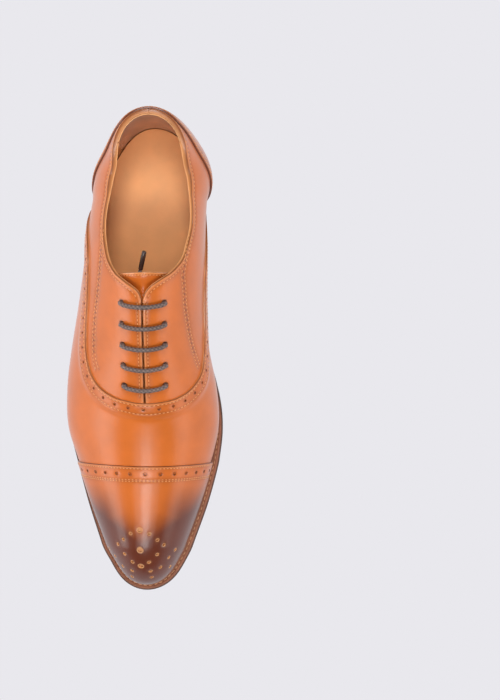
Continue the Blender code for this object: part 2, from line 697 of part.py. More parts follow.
def lace_route():
    """The whole route, from the lateral tail's tip side to the medial tail's."""
    tail_a, tip_a = lateral_tail()
    tail_b, tip_b = medial_tail()
    # lateral end: row 4 bar, down to row 2, bar, lateral side up from row 1
    route = tail_a[::-1]
    route += bar(3, -1)
    route += under_run(1, 3, 1, -3.3)[::-1]
    route += bar(1, 1)
    route += under_run(0, 1, -1, 0.0)[::-1]
    route += bar(0, -1)
    route += under_run(0, 2, 1, 3.3)
    route += bar(2, 1)
    route += under_run(2, 4, -1, -3.3)
    route += bar(4, -1)
    route += tail_b
    return route, tip_a, tip_b


def smooth_route(points, longest):
    """The route's points, with one more on the smooth curve wherever a run is long."""
    fine = catmull(points, 2)
    out = []
    for k, point in enumerate(fine):
        if k % 2 == 0 or np.linalg.norm(fine[k + 1] - fine[k - 1]) > longest:
            out.append(point)
    return out


def make_lace():
    route, tip_a, tip_b = lace_route()
    points = smooth_route(route, 6.0)
    curve = bpy.data.curves.new("lace", "CURVE")
    curve.dimensions = "3D"
    curve.bevel_depth = LACE_R * MM
    curve.bevel_resolution = 2
    curve.use_fill_caps = True
    spline = curve.splines.new("POLY")
    spline.points.add(len(points) - 1)
    for slot, point in zip(spline.points, points):
        slot.co = (*(Vector(point) * MM), 1.0)
    curve.materials.append(CORD)
    made = bpy.data.objects.new("lace", curve)
    bpy.context.collection.objects.link(made)
    for name, start, tip in (("aglet_1", route[0], tip_a), ("aglet_2", route[-1], tip_b)):
        direction = np.array(tip) - np.array(start)
        length = float(np.linalg.norm(direction))
        place = frame_on(start, direction / length)
        cylinder(name, AGLET_R, 0.3, length, 12, TIP, place)
    return made


# ---------------------------------------------------------------- bottom
def edge_places(a_values, side, reach):
    """Plan points (x, y) reach mm outside the last's feather edge."""
    out = []
    for a in a_values:
        base, direction, section = section_at(a, side)
        step = 0.3
        a0, a1 = max(a - step, A_TOE_END), min(a + step, A_HEEL_END)
        p, q = last_point(a0, side, 0), last_point(a1, side, 0)
        along = np.array([q[0] - p[0], q[1] - p[1]])
        normal = np.array([along[1], -along[0]]) / np.linalg.norm(along)
        normal = normal if side > 0 else -normal
        if a < A_TOE_END + 1e-6 or a > A_HEEL_END - 1e-6:
            normal = np.array(direction)
        far = reach(a, side) if callable(reach) else reach
        out.append((base[0] + direction[0] * section[0] + normal[0] * far,
                    base[1] + direction[1] * section[0] + normal[1] * far))
    return out


def sole_reach(a, side):
    """How far the sole's edge stands outside the feather edge: more round the toe, less at the waist."""
    share = min(max((a + 25.0) / 50.0, 0.0), 1.0)
    wider = float(np.interp(a, WIDER_A, WIDER_LATERAL if side < 0 else WIDER_MEDIAL))
    return WELT_REACH + (WAIST_REACH - WELT_REACH) * share + wider


def a_between(start, end, count):
    return [start + (end - start) * k / count for k in range(count + 1)]


def slab(name, lateral, medial, top, bottom, finish):
    """Solid between two plan outlines that share their stations; top and bottom are z of y."""
    points, faces = [], []
    n = len(lateral)
    for height in (bottom, top):
        for x, y in lateral:
            points.append((x, y, height(y)))
        for x, y in medial:
            points.append((x, y, height(y)))
    tip = math.dist(lateral[0], medial[0]) < 0.02, math.dist(lateral[-1], medial[-1]) < 0.02
    for level in (0, 2 * n):
        for i in range(n - 1):
            faces.append([level + i, level + i + 1, level + n + i + 1, level + n + i])
    for i in range(n - 1):
        faces.append([i, i + 1, 2 * n + i + 1, 2 * n + i])
        faces.append([n + i, n + i + 1, 3 * n + i + 1, 3 * n + i])
    if not tip[0]:
        faces.append([0, n, 3 * n, 2 * n])
    if not tip[1]:
        faces.append([n - 1, 2 * n - 1, 4 * n - 1, 3 * n - 1])
    pool = PointPool()
    keys = [pool.index(np.array(p)) for p in points]
    clean = []
    for face in faces:
        corners = []
        for i in face:
            if keys[i] not in corners:
                corners.append(keys[i])
        if len(corners) > 2:
            clean.append(corners)
    return add_object(name, pool.points, clean, finish)


def ring(name, outer, inner, top, bottom, finish):
    """Strip along an open path, between an outer and an inner plan curve."""
    points, faces = [], []
    for (x0, y0), (x1, y1) in zip(outer, inner):
        points += [(x0, y0, bottom(y0)), (x0, y0, top(y0)), (x1, y1, top(y1)), (x1, y1, bottom(y1))]
    n = len(outer)
    for i in range(n - 1):
        for k in range(4):
            m = (k + 1) % 4
            faces.append([4 * i + k, 4 * i + 4 + k, 4 * i + 4 + m, 4 * i + m])
    faces += [[0, 1, 2, 3], [4 * n - 4, 4 * n - 3, 4 * n - 2, 4 * n - 1]]
    return add_object(name, points, faces, finish)


def round_path(start, end, a_far, count, reach):
    """Plan path from the lateral side round an end of the shoe to the medial side."""
    lateral = edge_places(a_between(start, a_far, count), -1, reach)
    medial = edge_places(a_between(end, a_far, count), 1, reach)
    return lateral + medial[-2::-1]


def below(depth):
    return lambda y: feather_z(y) - depth


def flat(z):
    return lambda y: z


def make_bottom():
    whole = a_between(A_TOE_END, A_HEEL_END, 46)
    insole_top = -(TOUCH + INSOLE_THICK)
    slab("insole_board", edge_places(whole, -1, -0.9), edge_places(whole, 1, -0.9),
         below(insole_top), below(-TOUCH), BOARD)
    slab("sock", edge_places(whole, -1, -0.9), edge_places(whole, 1, -0.9),
         below(insole_top - TOUCH - SOCK_THICK), below(insole_top - TOUCH), CALF)
    under_welt = WELT_THICK + TOUCH
    ring("welt", round_path(HEEL_BREAST, HEEL_BREAST, A_TOE_END, 26, sole_reach),
         round_path(HEEL_BREAST, HEEL_BREAST, A_TOE_END, 26, -4.5), below(0.0), below(WELT_THICK), SOLE)
    ring("rand", round_path(HEEL_BREAST + 0.4, HEEL_BREAST + 0.4, A_HEEL_END, 12, sole_reach),
         round_path(HEEL_BREAST + 0.4, HEEL_BREAST + 0.4, A_HEEL_END, 12, -4.5),
         below(0.0), below(WELT_THICK), SOLE)
    cork = slab("cork_filler", edge_places(whole, -1, -4.9), edge_places(whole, 1, -4.9),
                below(0.0), below(WELT_THICK), CORK)
    shank_a = a_between(14.0, 112.0, 14)
    centre = [(edge_places([a], -1, 0)[0][0] + edge_places([a], 1, 0)[0][0]) / 2 for a in shank_a[:-1]]
    centre.append(centre[-1])
    slab("shank", [(x - 5.5, a) for x, a in zip(centre, shank_a)],
         [(x + 5.5, a) for x, a in zip(centre, shank_a)], below(0.9), below(2.1), STEEL)
    wide = [(13.0, centre[0])] + list(zip(shank_a, centre)) + [(113.0, centre[-1])]
    slot = slab("cut_shank", [(x - 6.0, a) for a, x in wide], [(x + 6.0, a) for a, x in wide],
                below(-2.0), below(5.0), STEEL)
    cut(cork, [slot])
    slab("outsole", edge_places(whole, -1, sole_reach), edge_places(whole, 1, sole_reach),
         below(under_welt), below(under_welt + OUTSOLE_THICK), SOLE)


def make_heel():
    """Stacked leather lifts, a rubber top piece and five nails in drilled holes."""
    stations = a_between(HEEL_BREAST, A_HEEL_END, 14)
    seat = WELT_THICK + TOUCH + OUTSOLE_THICK + TOUCH
    seat_low = feather_z(HEEL_BREAST) - seat
    lift = (seat_low - TOP_PIECE - TOUCH * LIFTS) / LIFTS
    pieces = []
    for k in range(LIFTS + 1):
        if k == 0:
            low, high = 0.0, TOP_PIECE
        else:
            low = TOP_PIECE + TOUCH + (k - 1) * (lift + TOUCH)
            high = low + lift
        shrink = HEEL_TAPER_DOWN * (1 - (low + high) / 2 / seat_low)
        lateral = edge_places(stations, -1, lambda a, side, s=shrink: sole_reach(a, side) - s)
        medial = edge_places(stations, 1, lambda a, side, s=shrink: sole_reach(a, side) - s)
        top = below(seat) if k == LIFTS else flat(high)
        name = "top_piece" if k == 0 else f"heel_lift_{k}"
        pieces.append(slab(name, lateral, medial, top, flat(low), RUBBER if k == 0 else SOLE))
    middle_x = station(1, HEEL_A)
    spots = [(middle_x, HEEL_A + 24.0)]
    for side in (-1, 1):
        spots += [(middle_x + side * 17.0, HEEL_A - 12.0), (middle_x + side * 18.0, HEEL_A + 8.0)]
    top_of_nail = seat_low - 1.0
    for k, (x, y) in enumerate(spots):
        place = Matrix.Translation(Vector((x, y, 0.0)) * MM)
        cylinder(f"heel_nail_{k + 1}", 0.9, TOP_PIECE + 0.9, top_of_nail, 10, STEEL, place)
        hole = cylinder(f"cut_nail_{k + 1}", 1.25, TOP_PIECE + 0.1, seat_low + 5.0, 10, STEEL, place)
        for piece in pieces[1:]:
            cut(piece, [hole])


def make_shoe():
    for old in list(bpy.data.objects):
        bpy.data.objects.remove(old, do_unlink=True)
    make_toe_cap()
    make_vamp()
    quarters = {-1: make_quarter("quarter_lateral", QUARTER_LATERAL, -1),
                1: make_quarter("quarter_medial", QUARTER_MEDIAL, 1)}
    make_counter_cover()
    make_toe_puff()
    make_counter_stiffener()
    make_vamp_lining()
    make_quarter_lining("quarter_lining_lateral", -1)
    make_quarter_lining("quarter_lining_medial", 1)
    stays = {-1: make_facing_stay("facing_stay_lateral", -1), 1: make_facing_stay("facing_stay_medial", 1)}
    make_heel_grip()
    make_tongue("tongue", TONGUE, 0.0, TAN)
    make_tongue("tongue_lining", TONGUE_LINING, 0.8, CALF)
    make_eyelets_and_holes(quarters, stays)
    make_lace()
    make_bottom()
    make_heel()
    shift = Matrix.Translation(Vector(TO_ORIGIN) * MM)
    for piece in bpy.data.objects:
        piece.matrix_world = shift @ piece.matrix_world


make_shoe()
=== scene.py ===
import math

import bmesh
import bpy
import numpy as np
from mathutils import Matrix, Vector
from mathutils.geometry import delaunay_2d_cdt
from mathutils.kdtree import KDTree


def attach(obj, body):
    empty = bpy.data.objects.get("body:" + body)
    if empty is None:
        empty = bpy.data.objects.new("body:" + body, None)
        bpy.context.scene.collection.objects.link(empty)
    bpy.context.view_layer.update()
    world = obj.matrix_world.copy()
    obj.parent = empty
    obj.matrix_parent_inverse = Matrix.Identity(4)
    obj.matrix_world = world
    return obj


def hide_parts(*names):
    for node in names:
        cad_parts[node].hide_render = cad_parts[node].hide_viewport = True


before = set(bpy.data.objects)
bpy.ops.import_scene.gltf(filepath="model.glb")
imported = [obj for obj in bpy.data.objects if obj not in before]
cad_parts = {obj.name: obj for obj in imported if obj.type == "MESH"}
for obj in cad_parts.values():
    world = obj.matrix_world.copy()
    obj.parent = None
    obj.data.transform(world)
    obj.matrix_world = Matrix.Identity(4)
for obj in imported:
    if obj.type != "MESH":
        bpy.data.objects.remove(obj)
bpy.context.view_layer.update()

MM = 0.001

# ---- the last, as in the CAD part (mm)
TOE_A, HEEL_A, TOE_ARC, HEEL_ARC = -118.0, 108.0, 27.0, 38.0
TOE_END = TOE_A - TOE_ARC * math.pi / 2
HEEL_END = HEEL_A + HEEL_ARC * math.pi / 2
SECTIONS = np.array((
    (-118, 1.5, -19.8, 22.0, -20.9, 22.9, 45.5, 12, 12, 13, 0),
    (-93, 2.3, -29.0, 30.9, -30.0, 31.9, 50.5, 17, 17, 15, 0),
    (-67, 3.2, -37.4, 38.4, -38.4, 39.4, 56.5, 21, 21, 16, 0),
    (-45, 3.8, -43.6, 42.8, -44.8, 44.0, 63.5, 22, 22, 18, 0),
    (-21, 4.0, -44.0, 41.0, -45.2, 43.0, 73.5, 19, 19, 20, 0),
    (4, 4.0, -41.0, 34.0, -42.0, 39.0, 85.0, 16, 16, 22, 0),
    (29, 4.2, -36.5, 27.5, -37.5, 37.4, 96.0, 15, 17, 24, 0),
    (54, 5.0, -31.5, 27.0, -33.6, 37.3, 102.0, 15, 20, 24, 0),
    (84, 6.8, -26.5, 31.5, -29.6, 37.8, 99.0, 15, 20, 22, -3),
    (108, 7.6, -22.0, 35.5, -25.4, 39.0, 97.0, 12, 14, 22, -4)), float)
TOE_SECTION = np.array((22.4, 23.6, 0.0, 45.5, 11.0, 12.0, 43.0))
HEEL_SECTION = np.array((34.6, 37.3, 0.0, 150.0, 43.0, 25.0, 120.0))
HEEL_TAPER = 2.0
FEATHER_Y = (-152, -135, -118, -93, -67, -45, -21, 4, 29, 54, 84, 108, 152)
FEATHER_Z = (17.6, 14.4, 11.8, 9.2, 8.0, 8.0, 8.7, 11.0, 15.4, 21.8, 28.4, 30.2, 30.6)
TO_ORIGIN = np.array((0.106, -0.127, 0.043))
TOUCH = 0.35            # gap between neighbouring pieces
MID = 2.0               # height over the last on which lengths are measured


def hermite(xs, values, x):
    xs, values = np.asarray(xs, float), np.asarray(values, float)
    slopes = np.gradient(values, xs)
    x = np.clip(x, xs[0], xs[-1])
    i = np.clip(np.searchsorted(xs, x, side="right") - 1, 0, len(xs) - 2)
    step = xs[i + 1] - xs[i]
    s = (x - xs[i]) / step
    return ((2 * s**3 - 3 * s**2 + 1) * values[i] + (s**3 - 2 * s**2 + s) * step * slopes[i]
            + (3 * s**2 - 2 * s**3) * values[i + 1] + (s**3 - s**2) * step * slopes[i + 1])


def station(column, a):
    return hermite(SECTIONS[:, 0], SECTIONS[:, column], a)


def feather_z(y):
    return hermite(FEATHER_Y, FEATHER_Z, y)


def turn_at(a):
    """Angle round the toe's or heel's fan; 0 along the middle."""
    return np.clip((TOE_A - a) / TOE_ARC, 0, math.pi / 2) + np.clip((a - HEEL_A) / HEEL_ARC, 0, math.pi / 2)


def plain_section(a, side):
    ridge = station(1, a)
    lateral = side < 0
    width = np.where(lateral, ridge - station(2, a), station(3, a) - ridge)
    widest = np.where(lateral, ridge - station(4, a), station(5, a) - ridge)
    full = np.where(lateral, station(7, a), station(8, a))
    high = station(6, a)
    return np.stack([width, widest, 0 * high, high, full, station(9, a), high + station(10, a)], -1)


def section_at(a, side):
    """Base x and y, direction x and y, and the section, for arrays of a and side."""
    middle = np.clip(a, TOE_A, HEEL_A)
    section = plain_section(middle, side)
    nudge = 0.5
    turn = turn_at(a)
    keep = (np.cos(turn) ** 2)[:, None]
    sine = np.sin(turn)
    front, back = a < TOE_A, a > HEEL_A
    if front.any():
        start = section[front]
        change = (plain_section(middle[front] + nudge, side[front]) - start) / nudge
        k, w = keep[front], start[:, :1]
        made = start * k + TOE_SECTION * (1 - k)
        made -= change * w * sine[front][:, None] * k * np.array([1, 1, 0, 0, 1, 1, 0])
        made[:, 6] = start[:, 3] - change[:, 3] * made[:, 4] * sine[front]
        made[:, 3] = start[:, 3]
        section[front] = made
    if back.any():
        start = section[back]
        change = (start - plain_section(middle[back] - nudge, side[back])) / nudge
        k, w = keep[back], start[:, :1]
        made = start * k + HEEL_SECTION * (1 - k) + change * w * sine[back][:, None] * k
        made[:, :2] -= (HEEL_TAPER * np.sin(2 * turn[back]) ** 2)[:, None]
        section[back] = made
    along = np.where(front, -sine, np.where(back, sine, 0.0))
    across = side * np.cos(turn)
    section[:, 2] = feather_z(middle + along * section[:, 0])
    return station(1, middle), middle, across, along, section


def last_point(a, side, t):
    x, y, dx, dy, section = section_at(a, side)
    width, widest, low, high, full, rise, handle = section.T
    bulge = (widest - 0.8438 * width - 0.1406 * full) / 0.4219
    s = 1 - t
    reach = s**3 * width + 3 * s * s * t * (width + bulge) + 3 * s * t * t * full
    z = s**3 * low + 3 * s * s * t * (low + rise) + 3 * s * t * t * handle + t**3 * high
    return np.stack([x + dx * reach, y + dy * reach, z], -1)


def unit(v):
    return v / np.maximum(np.linalg.norm(v, axis=-1, keepdims=True), 1e-9)


def last_normal(a, side, t):
    a0, a1 = np.maximum(a - 0.25, TOE_END), np.minimum(a + 0.25, HEEL_END)
    t0, t1 = np.clip(t - 0.004, 0, 1), np.clip(t + 0.004, 0, 0.9999)
    tm = np.minimum(t, 0.9985)
    along = last_point(a1, side, tm) - last_point(a0, side, tm)
    up = last_point(a, side, t1) - last_point(a, side, t0)
    normal = np.cross(along, up) * side[:, None]
    y = np.clip(a, TOE_A, HEEL_A)
    ridge = np.stack([station(1, y + 0.5) - station(1, y - 0.5), np.ones_like(y),
                      station(6, y + 0.5) - station(6, y - 0.5)], -1)
    top = np.cross(np.array([1.0, 0, 0]), ridge)
    return unit(np.where((t > 0.998)[:, None], top, normal))


LIFT_A = np.linspace(TOE_END, HEEL_END, 161)
LIFT_H = np.linspace(0, 6, 9)


def lowest_table(side):
    """t at which a layer clears the welt, over a and offset."""
    a, h = (v.ravel() for v in np.meshgrid(LIFT_A, LIFT_H, indexing="ij"))
    sides = np.full(len(a), float(side))
    low, high = np.zeros(len(a)), np.full(len(a), 0.2)
    for _ in range(16):
        t = (low + high) / 2
        p = last_point(a, sides, t) + last_normal(a, sides, t) * h[:, None]
        under = p[:, 2] < feather_z(p[:, 1]) + 0.1
        low, high = np.where(under, t, low), np.where(under, high, t)
    return high.reshape(len(LIFT_A), len(LIFT_H))


LOWEST = {-1: lowest_table(-1), 1: lowest_table(1)}


def lowest_t(a, side, h):
    u = np.clip((a - LIFT_A[0]) / (LIFT_A[1] - LIFT_A[0]), 0, len(LIFT_A) - 1.001)
    v = np.clip(h / (LIFT_H[1] - LIFT_H[0]), 0, len(LIFT_H) - 1.001)
    i, j = u.astype(int), v.astype(int)
    u, v = u - i, v - j

    def read(table):
        return ((table[i, j] * (1 - u) + table[i + 1, j] * u) * (1 - v)
                + (table[i, j + 1] * (1 - u) + table[i + 1, j + 1] * u) * v)
    return np.where(side < 0, read(LOWEST[-1]), read(LOWEST[1]))


def surface(a, g, h):
    """Points in mm in the shoe's frame at chart places (a, g), h outside the last."""
    a, g, h = (np.array(v, float) for v in np.broadcast_arrays(a, g, h))
    a, g, h = a.ravel(), g.ravel(), h.ravel()
    side = np.where(g < 0, -1.0, 1.0)
    t = 1 - np.abs(g)
    t = np.clip(np.where(t < 0.6, t + lowest_t(a, side, h) * (1 - t) ** 6, t), 0, 1)
    return last_point(a, side, t) + last_normal(a, side, t) * h[:, None] + TO_ORIGIN


def girth_at_reach(a, side, reach):
    """g whose point lies this far from the ridge in plan; arrays of a."""
    a = np.atleast_1d(np.array(a, float))
    sides = np.full(len(a), float(side))
    low, high = np.full(len(a), 0.3), np.ones(len(a))
    for _ in range(30):
        t = (low + high) / 2
        far = np.abs(last_point(a, sides, t)[:, 0] - station(1, a)) > reach
        low, high = np.where(far, t, low), np.where(far, high, t)
    return side * (1 - low)


# ---- the flat chart
GIRTH = 62.0            # chart mm for the whole girth of one side
FAR = 99.0              # stands for no target at all


def chart(a, g):
    """Flat chart: x is girth, y is a; the round toe and heel become fans."""
    a, g = (np.array(v, float) for v in np.broadcast_arrays(a, g))
    turn = turn_at(a)
    reach = np.abs(g) * GIRTH
    y = np.clip(a, TOE_A, HEEL_A) + np.where(a < TOE_A, -1, 1) * reach * np.sin(turn)
    return np.stack([np.sign(g) * reach * np.cos(turn), y], -1)


def unchart(xy):
    x, y = xy[:, 0], xy[:, 1]
    over = np.where(y < TOE_A, TOE_A - y, np.where(y > HEEL_A, y - HEEL_A, 0.0))
    reach = np.hypot(x, over)
    turn = np.arctan2(over, np.abs(x))
    a = np.where(y < TOE_A, TOE_A - turn * TOE_ARC, np.where(y > HEEL_A, HEEL_A + turn * HEEL_ARC, y))
    return a, np.where(x < 0, -1.0, 1.0) * np.minimum(reach / GIRTH, 1.0)


def at(xy, h=MID):
    a, g = unchart(xy)
    return surface(a, g, h)


def normal_at(xy):
    a, g = unchart(xy)
    side = np.where(g < 0, -1.0, 1.0)
    return last_normal(a, side, 1 - np.abs(g))


def moved(xy, vector):
    """Chart place reached by a small step vector (mm, 3-D) from each place."""
    target = at(xy) + vector
    place = xy.copy()
    for _ in range(3):
        here = at(place)
        e = 0.08
        jx = (at(place + (e, 0)) - here) / e
        jy = (at(place + (0, e)) - here) / e
        miss = target - here
        xx, xy_, yy = (jx * jx).sum(1), (jx * jy).sum(1), (jy * jy).sum(1)
        bx, by = (jx * miss).sum(1), (jy * miss).sum(1)
        det = np.maximum(xx * yy - xy_**2, 1e-6)
        step = np.stack([(yy * bx - xy_ * by) / det, (xx * by - xy_ * bx) / det], -1)
        place = place + np.clip(step, -8, 8)
    return place


def lengths(points):
    return np.r_[0, np.cumsum(np.linalg.norm(np.diff(points, axis=0), axis=1))]


def even(xy, step):
    """The chart curve again, with places about step mm apart on the shoe."""
    parts = []
    for p, q in zip(xy[:-1], xy[1:]):
        n = max(int(np.linalg.norm(q - p) / 0.7), 1)
        parts.append(p + (q - p) * (np.arange(n) / n)[:, None])
    fine = np.vstack(parts + [xy[-1:]])
    run = lengths(at(fine))
    marks = np.linspace(0, run[-1], max(int(round(run[-1] / step)), 1) + 1)
    return np.stack([np.interp(marks, run, fine[:, 0]), np.interp(marks, run, fine[:, 1])], -1)


def aside(xy, distance, closed=False):
    """Places beside a chart curve, distance mm to its left on the shoe's surface."""
    p = at(xy)
    if closed:
        along = np.roll(p, -1, 0) - np.roll(p, 1, 0)
    else:
        along = np.gradient(p, axis=0)
    left = unit(np.cross(normal_at(xy), unit(along)))
    return moved(xy, left * distance)


def catmull(points, per_span=8):
    p = np.asarray(points, float)
    e = np.vstack([2 * p[:1] - p[1:2], p, 2 * p[-1:] - p[-2:-1]])
    s = (np.arange(per_span) / per_span)[:, None]
    out = []
    for i in range(1, len(e) - 2):
        p0, p1, p2, p3 = e[i - 1:i + 3]
        out.append(0.5 * (2 * p1 + (p2 - p0) * s + (2 * p0 - 5 * p1 + 4 * p2 - p3) * s**2
                          + (3 * p1 - p0 - 3 * p2 + p3) * s**3))
    return np.vstack(out + [p[-1:]])


def curve(rows, side, smooth=True):
    """Chart curve through (a, t) rows on one side."""
    ag = np.array([(a, side * (1 - t)) for a, t in rows], float)
    ag = catmull(ag) if smooth else ag
    g = np.clip(ag[:, 1], -1, 1)
    return chart(ag[:, 0], g)


def along_a(a0, a1, g):
    return chart(np.linspace(a0, a1, 120), np.full(120, float(g)))


def smoothstep(x):
    x = np.clip(x, 0, 1)
    return x * x * (3 - 2 * x)


def fade(distance, width):
    """1 at no distance, fading away over a few widths."""
    return np.exp(-(distance / width) ** 2)


def tree_of(points):
    tree = KDTree(len(points))
    for i, p in enumerate(points):
        tree.insert(p, i)
    tree.balance()
    return tree


def distance_to(points, targets):
    """Distance in mm from each point to the nearest of the targets."""
    if len(targets) == 0:
        return np.full(len(points), FAR)
    tree = tree_of(targets)
    return np.array([tree.find(p)[2] for p in points])


def inside(points, loop):
    x, y = points.T
    hit = np.zeros(len(points), bool)
    for (x0, y0), (x1, y1) in zip(loop, np.roll(loop, -1, 0)):
        if y0 != y1:
            hit ^= ((y0 > y) != (y1 > y)) & (x < x0 + (y - y0) * (x1 - x0) / (y1 - y0))
    return hit


# ---- colours and finishes
def linear(r, g, b):
    """Scene colour from the 0-255 colour the eye reads."""
    return np.array([(c / 255 / 12.92) if c <= 10.3 else ((c / 255 + 0.055) / 1.055) ** 2.4
                     for c in (r, g, b)])


TAN = linear(202, 102, 30)
TAN_DEEP = linear(174, 80, 28)
BURNT = linear(84, 30, 13)
# EDGE_PALE: painted highlight on folded edges, and the pale colour of lining edges and rosette hole rims;
# EDGE_DARK: painted shade in grooves and round holes, and the colour right at cut edges
EDGE_PALE = linear(238, 178, 120)
EDGE_DARK = linear(88, 44, 28)
CALF = linear(228, 152, 92)
SUEDE = linear(196, 132, 84)


CLOUD_SCALE, COAT_ROUGHNESS, SHEEN_ROUGHNESS = 70.0, 0.24, 0.4
GLOSS_SWING = 0.06      # roughness either side of its mean
GRAIN_DEPTH = 0.0002    # in metres


def put(node, **values):
    """Set a node's inputs by name, with _ for a space."""
    for name, value in values.items():
        node.inputs[name.replace("_", " ")].default_value = value


def finish(name, colour, roughness, painted=False, grain=0.0, grain_scale=1500.0, coat=0.0, metallic=0.0,
           mottle=0.12, sheen=0.0, specular=0.5):
    """Procedural material: base colour (or the mesh's paint) with faint mottling and a fine grain."""
    made = bpy.data.materials.new(name)
    made.use_nodes = True
    tree = made.node_tree

    def add(kind, **values):
        node = tree.nodes.new("ShaderNode" + kind)
        put(node, **values)
        return node

    def wire(source, output, target, entry):
        tree.links.new(source.outputs[output], target.inputs[entry])

    shader = tree.nodes["Principled BSDF"]
    put(shader, Metallic=metallic, Coat_Weight=coat, Coat_Roughness=COAT_ROUGHNESS, Sheen_Weight=sheen,
        Sheen_Roughness=SHEEN_ROUGHNESS, Specular_IOR_Level=specular)
    place = add("TexCoord")
    cloud = add("TexNoise", Scale=CLOUD_SCALE, Detail=5.0)
    wire(place, "Object", cloud, "Vector")
    shade = add("MapRange", From_Min=0.3, From_Max=0.7, To_Min=1.0 - mottle, To_Max=1.0 + mottle)
    wire(cloud, "Fac", shade, "Value")
    tint = add("VectorMath")
    tint.operation = "SCALE"
    wire(shade, "Result", tint, "Scale")
    if painted:
        paint = add("VertexColor")
        paint.layer_name = "paint"
        wire(paint, "Color", tint, 0)
    else:
        tint.inputs[0].default_value = tuple(colour)
    wire(tint, "Vector", shader, "Base Color")
    gloss = add("MapRange", To_Min=roughness - GLOSS_SWING, To_Max=roughness + GLOSS_SWING)
    wire(cloud, "Fac", gloss, "Value")
    wire(gloss, "Result", shader, "Roughness")
    if grain:
        cells = add("TexVoronoi", Scale=grain_scale)
        fine = add("TexNoise", Scale=grain_scale * 1.7)
        wire(place, "Object", cells, "Vector")
        wire(place, "Object", fine, "Vector")
        both = add("Math")
        wire(cells, "Distance", both, 0)
        wire(fine, "Fac", both, 1)
        bump = add("Bump", Strength=grain, Distance=GRAIN_DEPTH)
        wire(both, "Value", bump, "Height")
        wire(bump, "Normal", shader, "Normal")
    made.diffuse_color = (*colour, 1.0)
    return made


LEATHER = finish("polished calf", TAN, 0.36, painted=True, grain=0.14, coat=0.4, mottle=0.07,
                 specular=0.25, sheen=0.16)
INNER = finish("lining calf", CALF, 0.55, painted=True, grain=0.15, mottle=0.06)
NAP = finish("heel grip suede", SUEDE, 0.85, painted=True, grain=0.5, grain_scale=2600.0, mottle=0.2,
             sheen=0.3)
THREAD = finish("tan thread", linear(222, 152, 92), 0.6, mottle=0.1)
PALE_THREAD = finish("welt thread", linear(196, 142, 102), 0.6, mottle=0.1)
CORD_TONE = linear(118, 100, 95)
CORD = finish("waxed cord", CORD_TONE, 0.5, painted=True, grain=0.3, grain_scale=2200.0, mottle=0.15)
TIP = finish("lace tip", linear(62, 46, 42), 0.25, coat=0.5, mottle=0.05)
WELT = finish("welt leather", linear(148, 92, 66), 0.55, painted=True, grain=0.3, mottle=0.15)
SOLE = finish("sole leather", linear(150, 102, 70), 0.5, painted=True, grain=0.2)
EDGE = finish("stained edge", linear(70, 44, 34), 0.4, painted=True, grain=0.25, mottle=0.15, coat=0.2)
RUBBER = finish("heel rubber", linear(46, 42, 40), 0.75, grain=0.3, grain_scale=900.0)
BOARD = finish("leather board", linear(170, 132, 96), 0.8, grain=0.3)
CORK = finish("cork", linear(160, 120, 84), 0.9, grain=0.6, grain_scale=700.0, mottle=0.35)
STEEL = finish("steel", linear(170, 170, 172), 0.35, metallic=1.0, mottle=0.04)
BRASS = finish("brass", linear(196, 160, 96), 0.35, metallic=1.0, mottle=0.06)
STAY = finish("stay calf", CALF, 0.6, grain=0.15, mottle=0.06)


# ---- making meshes
def rework(mesh, weld=False):
    """Turn the normals outwards; weld also joins the points that coincide."""
    shape = bmesh.new()
    shape.from_mesh(mesh)
    if weld:
        bmesh.ops.remove_doubles(shape, verts=shape.verts, dist=0.00001)
        bmesh.ops.dissolve_degenerate(shape, edges=shape.edges, dist=0.000005)
    bmesh.ops.recalc_face_normals(shape, faces=shape.faces)
    shape.to_mesh(mesh)
    shape.free()


def linked(name, data):
    made = bpy.data.objects.new(name, data)
    bpy.context.collection.objects.link(made)
    return made


def make(name, points, faces, finish_, body, nodes=(), paint=None, angle=50.0):
    """Closed mesh object from mm points; paint is one linear colour for each point."""
    mesh = bpy.data.meshes.new(name)
    mesh.from_pydata((np.asarray(points) * MM).tolist(), [], faces)
    rework(mesh)
    if paint is not None:
        layer = mesh.color_attributes.new("paint", "FLOAT_COLOR", "POINT")
        rgba = np.c_[np.asarray(paint), np.ones(len(points))]
        layer.data.foreach_set("color", rgba.astype(np.float32).ravel())
    mesh.materials.append(finish_)
    mesh.shade_smooth()
    mesh.set_sharp_from_angle(angle=math.radians(angle))
    made = linked(name, mesh)
    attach(made, body)
    if nodes:
        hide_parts(*nodes)
    return made


def blend_to(colours, target, amount):
    return colours + (np.asarray(target) - colours) * np.clip(amount, 0, 1)[:, None]


def hole_ring(centre, radius, count=10):
    """Round hole of a radius in mm, as chart places round a chart centre."""
    n = normal_at(centre[None])[0]
    u = unit(np.cross(n, (1.0, 0.3, 0.2)))
    v = np.cross(n, u)
    turn = 2 * math.pi * np.arange(count) / count
    vectors = radius * (np.cos(turn)[:, None] * u + np.sin(turn)[:, None] * v)
    return moved(np.repeat(centre[None], count, 0), vectors)


def thin(candidates, keep_away, gap):
    """The candidates that lie at least gap chart mm from the places already taken."""
    if not len(candidates) or not len(keep_away):
        return candidates
    tree = tree_of([(x, y, 0) for x, y in keep_away])
    return np.array([c for c in candidates if tree.find((c[0], c[1], 0))[2] > gap]).reshape(-1, 2)


EDGE_ROUND = 0.8        # width over which a cut edge rounds off
GROOVE_DEEP, GROOVE_WIDE = 0.16, 0.35


